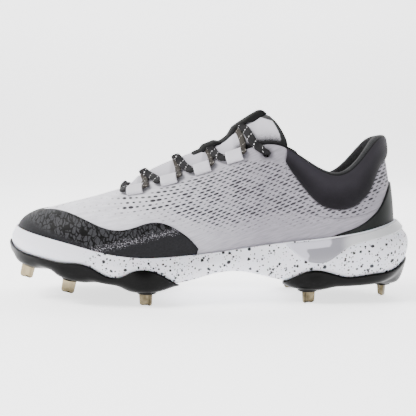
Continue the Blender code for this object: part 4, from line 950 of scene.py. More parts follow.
# Plates: two injection-moulded nylon plates under the forefoot and the heel, glossy black, with
# waved edges that climb the foam and a boss swelling round each spike.
PLATE_THICKNESS = 2.6 * MM
PLATE_GAP = 1.15 * MM
PLATE_EDGE = 1.0 * MM
LOBE_RADIUS = 24 * MM
BOSS_RADIUS = 6.8 * MM
BOSS_FLARE = 1.2 * MM
PLATE_SWELL = 2.6 * MM
SEAT_FLAT = 6 * MM  # the face is flat this far from a spike's centre
TOE_SPIKES = -80 * MM  # spikes ahead of this have steeper lobes
TOE_STRETCH = 1.45
#   station, share of the side's height from the rim (0) to the underside (1)
FORE_EDGE = [
    (0.562, 0.85), (0.590, 0.64), (0.620, 0.46), (0.645, 0.40), (0.675, 0.47), (0.705, 0.66),
    (0.735, 0.66), (0.765, 0.52), (0.795, 0.48), (0.840, 0.58), (0.900, 0.60), (0.960, 0.58),
    (1.000, 0.52),
]
HEEL_EDGE = [
    (0.000, 0.74), (0.050, 0.74), (0.120, 0.72), (0.170, 0.73), (0.220, 0.63), (0.255, 0.60),
    (0.290, 0.68), (0.325, 0.85),
]
#   name, station, side over BALL_WIDTH, seat over FOREFOOT_STACK, tilt, turn, boss size
SPIKES = [
    ("toe_lateral", 0.938, -0.148, 0.890, 14, 8, 0.78),
    ("toe_medial", 0.935, 0.266, 0.890, 14, -8, 0.78),
    ("fore_lateral", 0.825, -0.355, 0.470, 12, 12, 0.90),
    ("fore_medial", 0.825, 0.404, 0.470, 12, -12, 0.90),
    ("ball_lateral", 0.644, -0.394, 0.0, 0, 24, 1.0),
    ("ball_medial", 0.686, 0.394, 0.0, 0, -24, 1.0),
    ("heel_lateral", 0.262, -0.293, 0.0, 0, -26, 1.0),
    ("heel_medial", 0.281, 0.280, 0.0, 0, 26, 1.0),
    ("heel_back", 0.062, -0.020, 0.0, 0, 90, 0.90),
]
plate_material, tree, shader = finish_of("glossy moulded nylon", "#020202", 0.3,
                                         Specular_IOR_Level=0.1)
place = node(tree, "TexCoord", out="Object")
flowed = noise(tree, place, 6.25 * MM, 2.0)
emboss(tree, shader, flowed, 0.15, 0.5 * MM)


def spike_distance(plan, centre):
    """Distance in plan to a spike's centre, stretched ahead of the toe ones: steep lobes there."""
    away = plan - centre
    ahead = np.where((away[..., 0] < 0) & (centre[0] < TOE_SPIKES), TOE_STRETCH, 1.0)
    return np.hypot(away[..., 0] * ahead, away[..., 1])


def lobe_depth(points):
    """How far the plate's face drops to the nearest spike's tilted seat: a flat-topped bell."""
    depth = np.zeros(points.shape[:-1])
    for _name, station, side, seat, tilt, *_ in SPIKES:
        centre = np.array([x_of(station), side * BALL_WIDTH])
        level = SPIKE_LENGTH + seat * FOREFOOT_STACK + 0.6 * MM
        level = level + (centre[0] - points[..., 0]) * math.tan(math.radians(tilt))
        away = spike_distance(points[..., :2], centre)
        bell = 1 - smooth((away - SEAT_FLAT) / (LOBE_RADIUS - SEAT_FLAT))
        depth = np.maximum(depth, bell * np.maximum(points[..., 2] - level, 0))
    return depth


def near_spike(plan):
    """How near a point is to a spike in plan: 1 within its boss, falling to 0."""
    found = np.zeros(plan.shape[:-1])
    for _name, station, side, *_ in SPIKES:
        centre = np.array([x_of(station), side * BALL_WIDTH])
        away = spike_distance(plan, centre)
        found = np.maximum(found, 1 - smooth((away - SEAT_FLAT) / (14 * MM)))
    return found


def plate(name, centre, half_turn, edge_rows, bow, columns):
    """Offset of the foam's side and underside between the waved edge and a bowed front."""
    turn = np.linspace(-1, 1, columns)
    angle = centre + np.sign(turn) * np.abs(turn) ** 0.85 * math.radians(half_turn)
    edge = read(edge_rows, 1, station_of(outline(angle)[0][:, 0]))
    levels = np.linspace(0, 1, 40)[:, None]
    shares = np.clip(edge + (1 - edge) * levels, 0, 1)
    fade = smooth((1 - np.abs(turn)) * 7)
    thick = PLATE_EDGE + (PLATE_THICKNESS - PLATE_EDGE) * smooth(levels * 1.8) * fade
    rounded = dome(levels * (1 - edge) * 30, 0.05)
    near = side_offset(angle, shares, PLATE_GAP)
    swell = PLATE_SWELL * smooth(levels * 1.3) * near_spike(near[..., :2]) * fade
    far = side_offset(angle, shares, PLATE_GAP + thick * rounded + swell)
    sheets = []
    for grid, drop in ((near, 0), (far, PLATE_THICKNESS)):
        ring = grid[-1]
        f = np.linspace(0, 1, 25)[1:, None, None]
        plan = ring[:, :2] * (1 - f) + (ring + ring[::-1])[:, :2] / 2 * f
        plan[..., 0] += bow * smooth(1 - (1 - np.abs(turn)) * 5) * (1 - (1 - f[..., 0]) ** 2)
        thin = PLATE_GAP + drop * (0.4 + 0.6 * smooth((1 - np.abs(turn)) * 12))
        height = under_height(station_of(plan[..., 0])) - thin
        start = (ring[:, 2] - height[0]) * (1 - smooth(f[..., 0] * 2.5))
        under = np.concatenate([plan, (height + start)[..., None]], -1)
        sheets.append(np.concatenate([grid, under]))
    near, far = sheets
    below = (under_height(station_of(far[..., 0])) + 10 * MM - far[..., 2]) / (9 * MM)
    held = np.concatenate([smooth(levels * 1.5 - 0.15), np.ones((24, 1))])
    far[..., 2] -= lobe_depth(far) * smooth(below) * held
    points, faces = shell(far, near, last=False)
    piece = put_mesh(name + "_plate", points, faces)
    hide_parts(name)
    piece.data.materials.append(plate_material)


plate("outsole_forefoot", math.pi, 82.5, FORE_EDGE, -14 * MM, 321)
plate("outsole_heel", 0.0, 69, HEEL_EDGE, 10 * MM, 241)


# Spikes: nine blades stamped from steel and cupped across their width, set in flat bosses that
# are moulded on the plates. The steel is satin, stained brown by dirt low on the blades.
SPIKE_WIDTH = 10 * MM
SPIKE_ROOT = 3.4 * MM
SPIKE_TIP = 1.8 * MM
SPIKE_BEND = 1.6 * MM
BOSS_FOOT = 1.1 * MM
spike_material, tree, shader = finish_of("satin stamped steel", "#9B8E72", 0.35, Metallic=0.9)
place = node(tree, "TexCoord", out="Object")
brushed = node(tree, "Mapping", Vector=place,
               Scale=(1 / (0.385 * MM), 1 / (0.385 * MM), 1 / (6.25 * MM)))
brushed = noise(tree, brushed, 1.0, 2.0)
tree.links.new(graded(tree, brushed, low=0.25, high=0.45), shader.inputs["Roughness"])
emboss(tree, shader, brushed, 0.12, 0.05 * MM)
stains = noise(tree, place, 3.85 * MM, 3.0)
stains = graded(tree, stains, 0.25, 0.65, low=0.35)
low = graded(tree, node(tree, "SeparateXYZ", out=2, Vector=place), 17 * MM, 10 * MM)
stains = calc(tree, "MULTIPLY", stains, low)
steel = mix(tree, stains, "#9B8E72", "#4E4634")
tree.links.new(steel, shader.inputs["Base Color"])


def superellipse(count, wide_power, thick_power):
    """A rounded box as (wide, thick) from -1 to 1: cosine and sine to powers, signs kept."""
    turn = once_round(count)
    c, s = np.cos(turn), np.sin(turn)
    return np.sign(c) * np.abs(c) ** wide_power, np.sign(s) * np.abs(s) ** thick_power


def spike_frame(station, side, seat, tilt):
    """Seat's centre and the axes ahead, across and down; the tilt leans down towards the toe."""
    level = SPIKE_LENGTH + seat * FOREFOOT_STACK
    centre = np.array([x_of(station), side * BALL_WIDTH, level])
    lean = math.radians(tilt)
    ahead = np.array([-math.cos(lean), 0.0, math.sin(lean)])
    down = np.array([-math.sin(lean), 0.0, -math.cos(lean)])
    return centre, ahead, np.array([0.0, 1.0, 0.0]), down


for name, station, side, seat, tilt, spin, size in SPIKES:
    centre, ahead, across, down = spike_frame(station, side, seat, tilt)
    # Boss: circles along the spike's axis, flared into the plate and rounded at its flat end.
    turn = once_round(40)
    spoke = np.cos(turn)[:, None] * ahead + np.sin(turn)[:, None] * across
    deep = under_height(station) - PLATE_GAP - 0.6 * PLATE_THICKNESS - centre[2]
    radius = BOSS_RADIUS * size
    foot = BOSS_FOOT * (1 - seat)
    profile = [(deep, 0), (deep, radius + 2.4 * BOSS_FLARE)]
    for share in np.linspace(0.9, 0.1, 9):
        profile.append((-foot + (deep + foot) * share, radius + 2.4 * BOSS_FLARE * share**1.6))
    profile += [(0.25 * MM - foot, radius - 0.2 * MM), (0.05 * MM - foot, radius - 0.7 * MM),
                (-foot, radius - 1.6 * MM), (-foot, 0)]
    rings = np.array([centre - down * back + spoke * wide for back, wide in profile])
    boss = put_mesh("boss_" + name, rings.reshape(-1, 3), quads(len(profile), 40, wrap=True))
    boss.data.materials.append(plate_material)
    # Blade: a superellipse section, bent to a shallow cup, tapering to a rounded tip.
    wide = math.cos(math.radians(spin)) * ahead + math.sin(math.radians(spin)) * across
    thick = np.cross(wide, down)
    rounding = 0.8 + 0.2 * np.sin(np.linspace(0.15, 1.57, 9))
    depth = np.concatenate([np.linspace(0, 0.8, 9), rounding])[:, None]
    tip = np.sqrt(1 - np.clip((depth - 0.8) / 0.2, 0, 0.99) ** 2)
    c, s = superellipse(36, 0.35, 0.45)
    reach = SPIKE_WIDTH / 2 * (1 - 0.06 * depth) * (0.56 + 0.44 * tip)
    half = (SPIKE_ROOT + (SPIKE_TIP - SPIKE_ROOT) * depth) / 2 * (0.35 + 0.65 * tip)
    offset = SPIKE_BEND * (2 * np.sqrt(c * c + 0.01) - 1) + half * s
    drop = foot - GAP + depth * (SPIKE_LENGTH - foot + GAP)
    rings = centre + (down * drop[..., None] + wide * (reach * c)[..., None]
                      + thick * offset[..., None])
    middles = np.broadcast_to(rings.mean(1, keepdims=True), rings.shape)
    rings = np.concatenate([middles[:1], rings, middles[-1:]])
    spike = put_mesh("blade_" + name, rings.reshape(-1, 3), quads(len(rings), 36, wrap=True))
    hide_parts("spike_" + name)
    spike.data.materials.append(spike_material)


# Heel clip: a thin band of moulded TPU, cemented round the back of the foam's rim. It is clear
# grey over the foam, with a milky field at its front ends and a paler run round the heel.
CLIP_THICKNESS = 1.1 * MM
CLIP_SEAT = 0.2 * MM
#   station, share of the side's height from the rim (0) to the underside (1)
CLIP_EDGE = [
    (0.000, 0.17), (0.060, 0.18), (0.130, 0.18), (0.175, 0.26), (0.215, 0.46), (0.250, 0.48),
    (0.280, 0.38), (0.314, 0.05),
]
turn = np.linspace(-1, 1, 180)
angle = np.radians(68.5) * turn
low = read(CLIP_EDGE, 1, station_of(outline(angle)[0][:, 0]))
levels = np.linspace(0, 1, 28)[:, None]
shares = 0.004 + np.maximum(low - 0.004, 0.004) * levels
edge = np.minimum(np.minimum(levels, 1 - levels) * 9, (1 - np.abs(turn)) * 40)
thick = CLIP_THICKNESS * dome(edge, 0.03)
outer = side_offset(angle, shares, 2 * CLIP_SEAT + thick)
points, faces = shell(outer, side_offset(angle, shares, CLIP_SEAT))
clip = put_mesh("heel_clip_band", points, faces)
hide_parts("heel_clip")
material, tree, shader = finish_of("clear grey TPU", "#A8A7AD", 0.32)
place = node(tree, "TexCoord", out="Object")
x = node(tree, "SeparateXYZ", Vector=place)
z = node(tree, "SeparateXYZ", out=2, Vector=place)
wave = noise(tree, place, 6.67 * MM, 1.0)
x = calc(tree, "MULTIPLY_ADD", wave, 6 * MM, x)
fore = graded(tree, x, 90.5 * MM, 88.5 * MM, eased=True)
raised = calc(tree, "MULTIPLY_ADD", x, -0.12, z)
raised = graded(tree, raised, 30.5 * MM, 31.5 * MM, eased=True)
left = graded(tree, x, 75.0 * MM, 73.5 * MM, eased=True)
milky = calc(tree, "MULTIPLY", fore, raised)
milky = calc(tree, "MAXIMUM", milky, left)
tone = mix(tree, milky, "#7F7E85", "#BAB8C3")
band = graded(tree, x, 96 * MM, 106 * MM, eased=True)
tone = mix(tree, band, tone, "#B4B5B7")
tree.links.new(tone, shader.inputs["Base Color"])
clip.data.materials.append(material)


# Tongue: foam in a soft grey knit, sewn in under the vamp and pressed up between the lace
# stretches. Its back edge is bound in black.
TONGUE_HEIGHT = 130 * MM
TONGUE_THICKNESS = 4.5 * MM
TONGUE_EDGE = 2.5 * MM
TONGUE_CLEARANCE = 2.3 * MM
BINDING = 6.6 * MM
PUFF = 1.6 * MM
PUFF_START, PUFF_END = -58 * MM, 36 * MM
SEAM_SHADE = 5.5 * MM
LOOP_LENGTH = 12 * MM
#   pairs of lace loops: station, distance below the throat's edge as a share of the rib
LOOPS = [(0.672, 0.165), (0.591, 0.120), (0.512, 0.085), (0.435, 0.060)]
#   ridge: station, height; side: station, half width, height
TONGUE = [
    (0.752, 0.490, 0.752, 0.080, 0.470), (0.722, 0.510, 0.712, None, None),
    (0.695, 0.578, 0.682, None, None), (0.640, 0.652, 0.630, None, None),
    (0.592, 0.702, 0.575, None, None), (0.545, 0.742, 0.515, None, None),
    (0.500, 0.778, 0.450, None, None), (0.465, 0.818, 0.400, None, None),
    (0.435, 0.872, 0.345, 0.210, 0.740), (0.405, 0.920, 0.310, 0.208, 0.782),
    (0.378, 0.958, 0.320, 0.184, 0.880), (0.356, 0.982, 0.343, 0.118, 0.956),
]


def tongue_controls():
    """Four Bezier points of each row's section, from the ridge to the side, on both sides."""
    controls = np.zeros((len(TONGUE), 2, 4, 3))
    for i, (ridge, height, side_station, half, side_height) in enumerate(TONGUE):
        middle = spine(ridge) - SIDE_SHIFT
        top = np.array([x_of(ridge), middle, SPIKE_LENGTH + height * TONGUE_HEIGHT])
        for j, side in enumerate((-1, 1)):
            side_x = x_of(side_station)
            if half is None:
                angle = throat_angle(side_x, side)
                depth = -(UPPER_WALL + TONGUE_CLEARANCE)
                low, brow = rib_offset(angle, 0.9, depth), rib_offset(angle, 1.0, depth)
                lead = brow - (brow - low) * 0.2
                reach = np.array([0, 0.39 * (brow[1] - middle), 0])
            else:
                z = SPIKE_LENGTH + side_height * TONGUE_HEIGHT
                low = np.array([side_x, middle + side * half * BALL_WIDTH, z])
                lead = low + np.array([(top[0] - low[0]) * 0.45, 0, (top[2] - z) * 0.5])
                reach = np.array([0, side * half * BALL_WIDTH * 0.6, 0])
            controls[i, j] = top, top + reach, lead, low
    return controls


TONGUE_CONTROLS = tongue_controls()


def tongue_surface(along, across):
    """Outer face: rows splined from under the vamp (0) to the top (1), Bezier across -1 to 1."""
    along, across = np.broadcast_arrays(along, across)
    knots, t = np.linspace(0, 1, len(TONGUE)), np.abs(across)
    weights = [(1 - t) ** 3, 3 * t * (1 - t) ** 2, 3 * t * t * (1 - t), t**3]
    result = np.zeros(along.shape + (3,))
    for k, weight in enumerate(weights):
        for axis in range(3):
            both = [spline(knots, TONGUE_CONTROLS[:, j, k, axis], along) for j in (0, 1)]
            result[..., axis] += weight * np.where(across > 0, both[1], both[0])
    return result


def tongue_normals(along, across):
    """Unit normals of the tongue, turned to face up."""
    along, across = np.broadcast_arrays(along, across)
    a = tongue_surface(along + NUDGE, across) - tongue_surface(along - NUDGE, across)
    b = tongue_surface(along, across + NUDGE) - tongue_surface(along, across - NUDGE)
    found = unit(np.cross(a, b))
    return found * np.where(found[..., 2:3] < 0, -1, 1)


a, b = np.meshgrid(np.linspace(0, 1, 200), np.linspace(-1, 1, 110), indexing="ij")
border = np.maximum(np.abs(b), np.abs(2 * a - 1)) ** 8
thick = TONGUE_THICKNESS + (TONGUE_EDGE - TONGUE_THICKNESS) * border
thick = thick * (0.55 + 0.45 * smooth(a / 0.4))
surface = tongue_surface(a, b)
x = surface[..., 0]
puff = smooth((x - PUFF_START) / (6 * MM)) * smooth((PUFF_END - x) / (9 * MM))
for station, _setback in LOOPS:
    away = x - (x_of(station) + LOOP_LENGTH / 2 - MM)
    puff = puff * smooth(np.abs(away + 2 * MM * np.abs(b)) / (5.5 * MM))
puff = puff * (1 - smooth((np.abs(b) - 0.55) / 0.4)) * PUFF
facing = tongue_normals(np.clip(a, 0.004, 0.996), np.clip(b, -0.97, 0.97))
rim_round = np.minimum(1 - np.abs(b), (1 - a) * 1.6)
rounded = dome(rim_round * 14)
outer = surface + facing * (puff - thick * (1 - rounded) / 2)[..., None]
inner = surface - facing * (thick * (1 + rounded) / 2)[..., None]
points, faces = shell(outer, inner)
edge_angle = np.radians(np.linspace(COLLAR_FRONT, 176, 120))
edge_rib = rib(edge_angle, np.ones(120))
edge_z = np.interp(outer[..., 0], edge_rib[::-1, 0], edge_rib[::-1, 2])
shade = np.exp(-np.maximum(outer[..., 2] - edge_z, 0) / SEAM_SHADE)
shade = shade * smooth((outer[..., 0] - 12 * MM) / (12 * MM))
steps = np.linalg.norm(np.diff(outer, axis=1), axis=-1)
from_left = np.pad(np.cumsum(steps, 1), ((0, 0), (1, 0)))
from_side = np.minimum(from_left, from_left[:, -1:] - from_left)
steps = np.linalg.norm(np.diff(outer, axis=0), axis=-1)
from_top = np.pad(np.cumsum(steps[::-1], 0)[::-1], ((0, 1), (0, 0)))
from_side = np.where(a > 0.74, from_side, 1.0)
bound = smooth((BINDING - np.minimum(from_side, from_top + 0.6 * MM)) / (0.4 * MM) + 0.5)
outer += facing * (0.5 * MM * bound * smooth(rounded * 1.5))[..., None]
maps = [("shade", np.concatenate([shade.ravel(), 0 * shade.ravel()])),
        ("bound", np.concatenate([bound.ravel(), bound.ravel()]))]
tongue = put_mesh("tongue_pad", points, faces, maps)
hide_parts("tongue")

# The knit is brushed, so it is soft and even. It darkens where it goes down inside the collar, and
# the binding is plain black tape. The nap is drawn 0.7 mm wide, coarser than it is, to show.
material, tree, shader = finish_of("soft grey tongue knit", "#B5B3BA", 0.9, Sheen_Weight=0.15)
place = node(tree, "TexCoord", out="Object")
bound = node(tree, "Attribute", {"attribute_name": "bound"}, out="Fac")
shade = node(tree, "Attribute", {"attribute_name": "shade"}, out="Fac")
nap = noise(tree, place, 0.667 * MM, 3.0)
soft = calc(tree, "MULTIPLY_ADD", nap, 0.5, shade)
soft = graded(tree, soft, 0.4, 0.95, eased=True)
cloth = mix(tree, soft, "#B9B7BE", "#0F0D11")
edged = mix(tree, bound, cloth, "#060607")
tree.links.new(edged, shader.inputs["Base Color"])
emboss(tree, shader, nap, 0.3, 0.2 * MM)
tongue.data.materials.append(material)


# Tongue strip: a padded black textile strip sewn down the tongue's front. The two upper lace
# stretches run through tunnels under it.
PANEL_HEIGHT = 5.2 * MM
PANEL_SKIN = 0.9 * MM
PANEL_HALF_WIDTH = 7 * MM
PANEL_SEAT = 0.1 * MM
TUNNEL_HALF_LENGTH = 4.9 * MM


def crossing_x(mouth_x):
    """Where the stretches from a pair of loops cross on the ridge."""
    return mouth_x - 1.0 * MM


along = np.linspace(0.455, 0.992, 150)
handles = TONGUE_CONTROLS[:, 1, 1, 1] - TONGUE_CONTROLS[:, 1, 0, 1]
handle = spline(np.linspace(0, 1, len(TONGUE)), handles, along)
a, b = np.meshgrid(along, np.linspace(-1, 1, 41), indexing="ij")
ridge_x = tongue_surface(along, np.zeros(len(along)))[:, 0]
narrow = 0.62 + 0.38 * smooth((ridge_x - 6 * MM) / (12 * MM))
reach = b * (np.minimum(PANEL_HALF_WIDTH / (3 * handle), 0.45) * narrow)[:, None]
base, facing = tongue_surface(a, reach), tongue_normals(a, reach)
lifted = np.zeros(len(along))
for station, _setback in LOOPS[2:]:
    away = np.abs(ridge_x - crossing_x(x_of(station) + LOOP_LENGTH / 2))
    lifted = np.maximum(lifted, smooth(1.75 - away / TUNNEL_HALF_LENGTH))
rise = (PANEL_HEIGHT - PANEL_SKIN - PANEL_SEAT) * lifted
rise = PANEL_SEAT + rise[:, None] * (1 - 0.45 * smooth((np.abs(b) - 0.45) / 0.5))
level = (along - along[0]) / (along[-1] - along[0])
border = np.minimum(1 - np.abs(b), np.minimum(level * 4, (1 - level) * 2.2)[:, None])
rounded = dome(border * 4, 0.03)
padded = PANEL_HEIGHT * (0.5 + 0.5 * np.maximum(lifted, smooth((ridge_x - 14 * MM) / (8 * MM))))
top = rise + (padded[:, None] - PANEL_SKIN * b**4 - rise) * rounded
outer = base + facing * top[..., None]
inner = base + facing * rise[..., None]
points, faces = shell(outer, inner)
strip = put_mesh("tongue_strip", points, faces)
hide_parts("tongue_panel")
material, tree, shader = finish_of("black padded textile", "#0C0D0D", 0.7,
                                   Specular_IOR_Level=0.2)
weave = noise(tree, node(tree, "TexCoord", out="Object"), 0.769 * MM, 2.0)
emboss(tree, shader, weave, 0.3, 0.2 * MM)
strip.data.materials.append(material)


# Lace loops: flat grey webbing, folded to a tunnel and bar-tacked to the edge of the throat,
# four a side. The lace lies flat in each.
LOOP_WIDTH = 10.6 * MM
LOOP_BORE = 3.1 * MM
LOOP_WALL = 0.8 * MM
LOOP_SEAT = 0.66 * MM
LOOP_GIRTH = 20  # mm of webbing over the arch
WEFT_SPACING, WARP_SPACING = 0.698, 0.524  # mm
webbing, tree, shader = finish_of("flat woven webbing", "#BEBCC2", 0.85)
flow_map = node(tree, "UVMap", {"uv_map": "flow"})
weft = node(tree, "TexWave", {"bands_direction": "Y"}, out="Fac", Vector=flow_map,
            Scale=math.pi / 10 / WEFT_SPACING)
warp = node(tree, "TexWave", {"bands_direction": "X"}, out="Fac", Vector=flow_map,
            Scale=math.pi / 10 / WARP_SPACING)
weave = calc(tree, "MULTIPLY", weft, warp)
emboss(tree, shader, weave, 0.4, 0.2 * MM)


def arch(width, height, count):
    """A low arch as (across, up) pairs: cosine across, sine to a small power up."""
    turn = np.linspace(0, math.pi, count)
    return np.stack([width / 2 * np.cos(turn), height * np.sin(turn) ** 0.55], -1)


for side, word in ((-1, "lateral"), (1, "medial")):
    for number, (station, setback) in enumerate(LOOPS, 1):
        place, ahead, down, facing = eyestay_frame(station, setback, side)
        outside = arch(LOOP_WIDTH, LOOP_BORE + 2 * LOOP_WALL, 40) - np.array([0, 0.5 * MM])
        inside = arch(LOOP_WIDTH - 2 * LOOP_WALL, LOOP_BORE, 40) + np.array([0, LOOP_WALL])
        lengths = np.linspace(-0.5, 0.5, 12)[:, None, None] * LOOP_LENGTH
        axes = np.array([down, facing])
        seat = place + facing * LOOP_SEAT
        outer = (outside @ axes + seat)[None] + ahead * lengths
        inner = (inside @ axes + seat)[None] + ahead * lengths
        points, faces = shell(outer, inner)
        girth = np.linspace(0, LOOP_GIRTH, 40)
        flow = np.stack(np.broadcast_arrays(girth, lengths[:, :, 0] * LOOP_LENGTH / MM), -1)
        flow = flow.reshape(-1, 2)
        maps = [("flow", np.concatenate([flow, flow]))]
        loop = put_mesh(f"webbing_{word}_{number}", points, faces, maps)
        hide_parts(f"lace_loop_{word}_{number}")
        loop.data.materials.append(webbing)


# Lace: one flat-woven black cord with pale flecks. It runs across the front, crosses over the
# tongue four times through the loops, and goes down the two top eyelets.
LACE_WIDTH = 6.0 * MM
LACE_PINCH = 0.78
LACE_HEIGHT = 2.1 * MM
LACE_CLEARANCE = 0.7 * MM
LACE_RISE = 0.95 * LACE_HEIGHT  # of the upper run where two cross
LACE_GIRTH = 11  # mm round the cord
FLECK_ROWS, PLAIT, STRAND, FLECK_PITCH = 8.5, 1.1, 0.45, 0.6  # mm


def cord_material(name, dark, pale):
    """Woven cord: a herringbone relief, with rows of pale flecks across it."""
    material, tree, shader = finish_of(name, dark, 0.75, Specular_IOR_Level=0.2)
    flow_map = node(tree, "UVMap", {"uv_map": "flow"})
    u = node(tree, "SeparateXYZ", Vector=flow_map)
    v = node(tree, "SeparateXYZ", out=1, Vector=flow_map)
    plait = calc(tree, "PINGPONG", u, PLAIT)
    twill = calc(tree, "MULTIPLY_ADD", plait, 0.9, v)
    strand = calc(tree, "PINGPONG", twill, STRAND)
    row = calc(tree, "ADD", u, v)
    row = calc(tree, "MULTIPLY", row, 1 / FLECK_ROWS)
    within = calc(tree, "FRACT", row)
    dash = calc(tree, "LESS_THAN", within, 0.08)
    gap = calc(tree, "PINGPONG", u, FLECK_PITCH)
    gap = calc(tree, "LESS_THAN", gap, 0.25)
    fleck = calc(tree, "MULTIPLY", dash, gap)
    tone = graded(tree, strand, end=STRAND, low=0.35)
    cord = mix(tree, tone, "#040404", dark)
    cord = mix(tree, fleck, cord, pale)
    tree.links.new(cord, shader.inputs["Base Color"])
    emboss(tree, shader, strand, 0.7, 0.5 * MM)
    return material


face_cord = cord_material("woven cord face", "#131214", "#DAD8DB")
# The stretches that rise from the lateral loops use a paler, browner copy of the cord: partly its
# reverse side, partly painted sheen.
back_cord_and_painted_sheen = cord_material("woven cord back", "#3D3934", "#A8A39D")


def tongue_spot(x, across, height):
    """A point over the tongue at this x, and the normal there."""
    along = np.linspace(0.02, 0.98, 385)
    spots = tongue_surface(along, np.full(385, across))
    found, across = np.array(np.interp(x, spots[:, 0], along)), np.array(across)
    facing = tongue_normals(found, across)
    return tongue_surface(found, across) + facing * height, facing


def flank_spot(x, side, setback, height):
    """A point over the upper, a share of the way down a rib from the throat's edge."""
    angle, share = throat_angle(x, side, 1 - setback), np.array(1.0 - setback)
    return rib_offset(angle, share, height), normals(rib, angle, share)


def lace_path(start, end, out_x, ridge_x, over):
    """A stretch from inside one loop, up over the ridge and into another: a spline of spots."""
    rest = LACE_CLEARANCE + LACE_HEIGHT / 2
    (p0, out0, up0, side0, setback0, deep0), (p1, out1, up1, side1, setback1, deep1) = start, end
    reach, in_x = p1[0] - ridge_x, p1[0] - 3.0 * MM
    spots = [
        (p0 - out0 * deep0, up0),
        (p0 - out0 * 0.8 * MM, up0),
        (p0 + out0 * 1.2 * MM, up0),
        flank_spot(out_x, side0, setback0 * 0.45, rest + LOOP_SEAT),
        flank_spot(out_x, side0, 0, rest + over / 2),
        tongue_spot((out_x + ridge_x) / 2, 0.34 * side0, rest + over / 2),
        tongue_spot(ridge_x, 0.0, rest + over),
        tongue_spot(ridge_x + 0.3 * reach, 0.34 * side1, rest + over / 2),
        flank_spot(min(ridge_x + 0.62 * reach, in_x), side1, 0, rest + over / 2),
        flank_spot(min(ridge_x + 0.77 * reach, in_x), side1, setback1 * 0.45, rest + LOOP_SEAT),
        (p1 + out1 * 1.8 * MM, up1),
        (p1 - out1 * 0.8 * MM, up1),
        (p1 - out1 * deep1, up1),
    ]
    places = np.array([spot for spot, _ in spots])
    knots = np.concatenate([[0], np.cumsum(np.linalg.norm(np.diff(places, axis=0), axis=1))])
    at = np.linspace(0, knots[-1], 150)
    path = np.stack([spline(knots, places[:, k], at) for k in range(3)], -1)
    ups = np.stack([spline(knots, [up[k] for _, up in spots], at) for k in range(3)], -1)
    return path, ups, at


def lace(name, path, ups, at, nodes, cord):
    """A flat cord: a superellipse carried along the path, round at its ends, narrower below."""
    across = LACE_WIDTH / 2 * (LACE_PINCH if cord is back_cord_and_painted_sheen else 1.0)
    tangent = np.gradient(path, axis=0)
    wide = unit(np.cross(tangent, ups))
    up = unit(np.cross(wide, tangent))
    c, s = superellipse(24, 0.8, 0.8)
    tip = dome(np.minimum(at, at[-1] - at) / MM)[:, None, None]
    swell = 1 + 0.02 * np.sin(at / MM * 2 * math.pi / 1.6)[:, None, None]
    grid = path[:, None] + (wide[:, None] * c[:, None] * across
                            + up[:, None] * s[:, None] * LACE_HEIGHT / 2) * tip * swell
    girth = np.arange(24) / 24 * LACE_GIRTH
    flow = np.stack(np.broadcast_arrays(girth, at[:, None] / MM), -1)
    piece = put_mesh(name, grid.reshape(-1, 3), quads(len(at), 24, wrap=True),
                     [("flow", flow.reshape(-1, 2))])
    if nodes:
        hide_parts(nodes)
    piece.data.materials.append(cord)


mouths = {}
height = LOOP_SEAT + LOOP_WALL + LOOP_BORE / 2
for side in (-1, 1):
    for number, (station, setback) in enumerate(LOOPS):
        place, ahead, _down, facing = eyestay_frame(station, setback, side)
        for end, way in (("front", 1), ("rear", -1)):
            point = place + ahead * way * LOOP_LENGTH / 2 + facing * height
            mouths[side, number, end] = (point, ahead * way, facing, side, setback, LOOP_LENGTH / 2)
    place, _ahead, down, facing = eyestay_frame(*EYELET, side)
    mouths[side, 4, "front"] = (place + facing * 1.6 * MM, facing, down, side, 0.1, 6 * MM)
front = mouths[-1, 0, "front"], mouths[1, 0, "front"]
bar_x = front[0][0][0] - 3.0 * MM
lace("lace_front_bar", *lace_path(*front, bar_x, bar_x, 1.9 * MM), "lace_bar", face_cord)
for number in range(4):
    for side, over, word in ((-1, 0.0, "under"), (1, LACE_RISE, "over")):
        start, end = mouths[side, number, "rear"], mouths[-side, number + 1, "front"]
        path = lace_path(start, end, start[0][0] + 1.2 * MM, crossing_x(start[0][0]), over)
        nodes = f"lace_crossing_{number + 1}" if side < 0 else ""
        cord = back_cord_and_painted_sheen if side < 0 else face_cord
        lace(f"lace_{word}_{number + 1}", *path, nodes, cord)


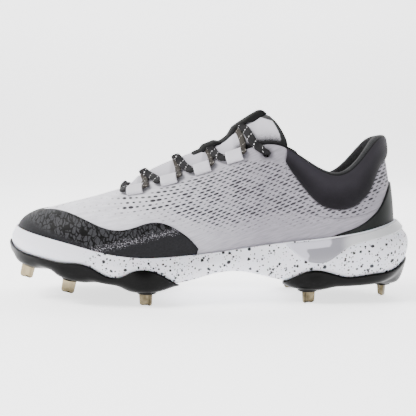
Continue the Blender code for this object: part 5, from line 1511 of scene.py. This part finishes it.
# Studio: a pale floor and backdrop in one sweep, a large soft light above and two fills.
turn = np.linspace(0, math.pi / 2, 16)
bend = [(1.6 + 0.6 * math.sin(t), 0.6 - 0.6 * math.cos(t)) for t in turn]
sweep = [(-12.0, 0.0)] + bend + [(2.2, 4.0)]
points = np.array([[x, y, z] for x in (-10.0, 10.0) for y, z in sweep])
sweep_mesh = bpy.data.meshes.new("studio_sweep")
sweep_mesh.from_pydata(points, [], quads(2, len(sweep)).tolist())
sweep_mesh.shade_smooth()
floor = bpy.data.objects.new("studio_sweep", sweep_mesh)
bpy.context.scene.collection.objects.link(floor)
material, tree, shader = finish_of("matt paper", "#F6F6F7", 0.9, Emission_Color=(1, 1, 1, 1),
                                   Emission_Strength=1.7)
floor.data.materials.append(material)
for name, place, aim, size, power, colour in (
    ("key", (-1.2, -0.35, 1.4), (0, 0, 0.05), 0.9, 62, (1, 0.99, 0.98)),
    ("front", (-0.8, -1.6, 0.5), (0, 0, 0.06), 1.2, 9, (0.98, 0.98, 1)),
    ("rear", (0.7, 0.9, 1.2), (0, 0, 0.08), 0.9, 14, (1, 1, 1)),
):
    light = bpy.data.lights.new(name, "AREA")
    light.size, light.energy, light.color = size, power, colour
    lamp = bpy.data.objects.new(name, light)
    lamp.location = place
    way = Vector(aim) - Vector(place)
    lamp.rotation_euler = way.to_track_quat("-Z", "Y").to_euler()
    bpy.context.scene.collection.objects.link(lamp)
world = bpy.data.worlds.new("studio")
world.use_nodes = True
world.node_tree.nodes["Background"].inputs["Color"].default_value = (0.93, 0.94, 0.96, 1)
world.node_tree.nodes["Background"].inputs["Strength"].default_value = 0.38
bpy.context.scene.world = world


# Camera: square to the shoe's side, 560 mm from its middle and looking a little down. The focal
# length is 741 pixels on a frame 416 pixels wide, and the aim is 58 pixels below level.
FOCAL, FRAME, FALL = 741, 416, 58
camera_data = bpy.data.cameras.new("camera")
camera_data.sensor_width, camera_data.lens = 36, FOCAL / FRAME * 36
camera_data.clip_start = 0.01
camera = bpy.data.objects.new("camera", camera_data)
camera.location = (0, -0.560, 0.110)
camera.rotation_euler = (math.pi / 2 - math.atan(FALL / FOCAL), 0, 0)
bpy.context.scene.collection.objects.link(camera)
bpy.context.scene.camera = camera
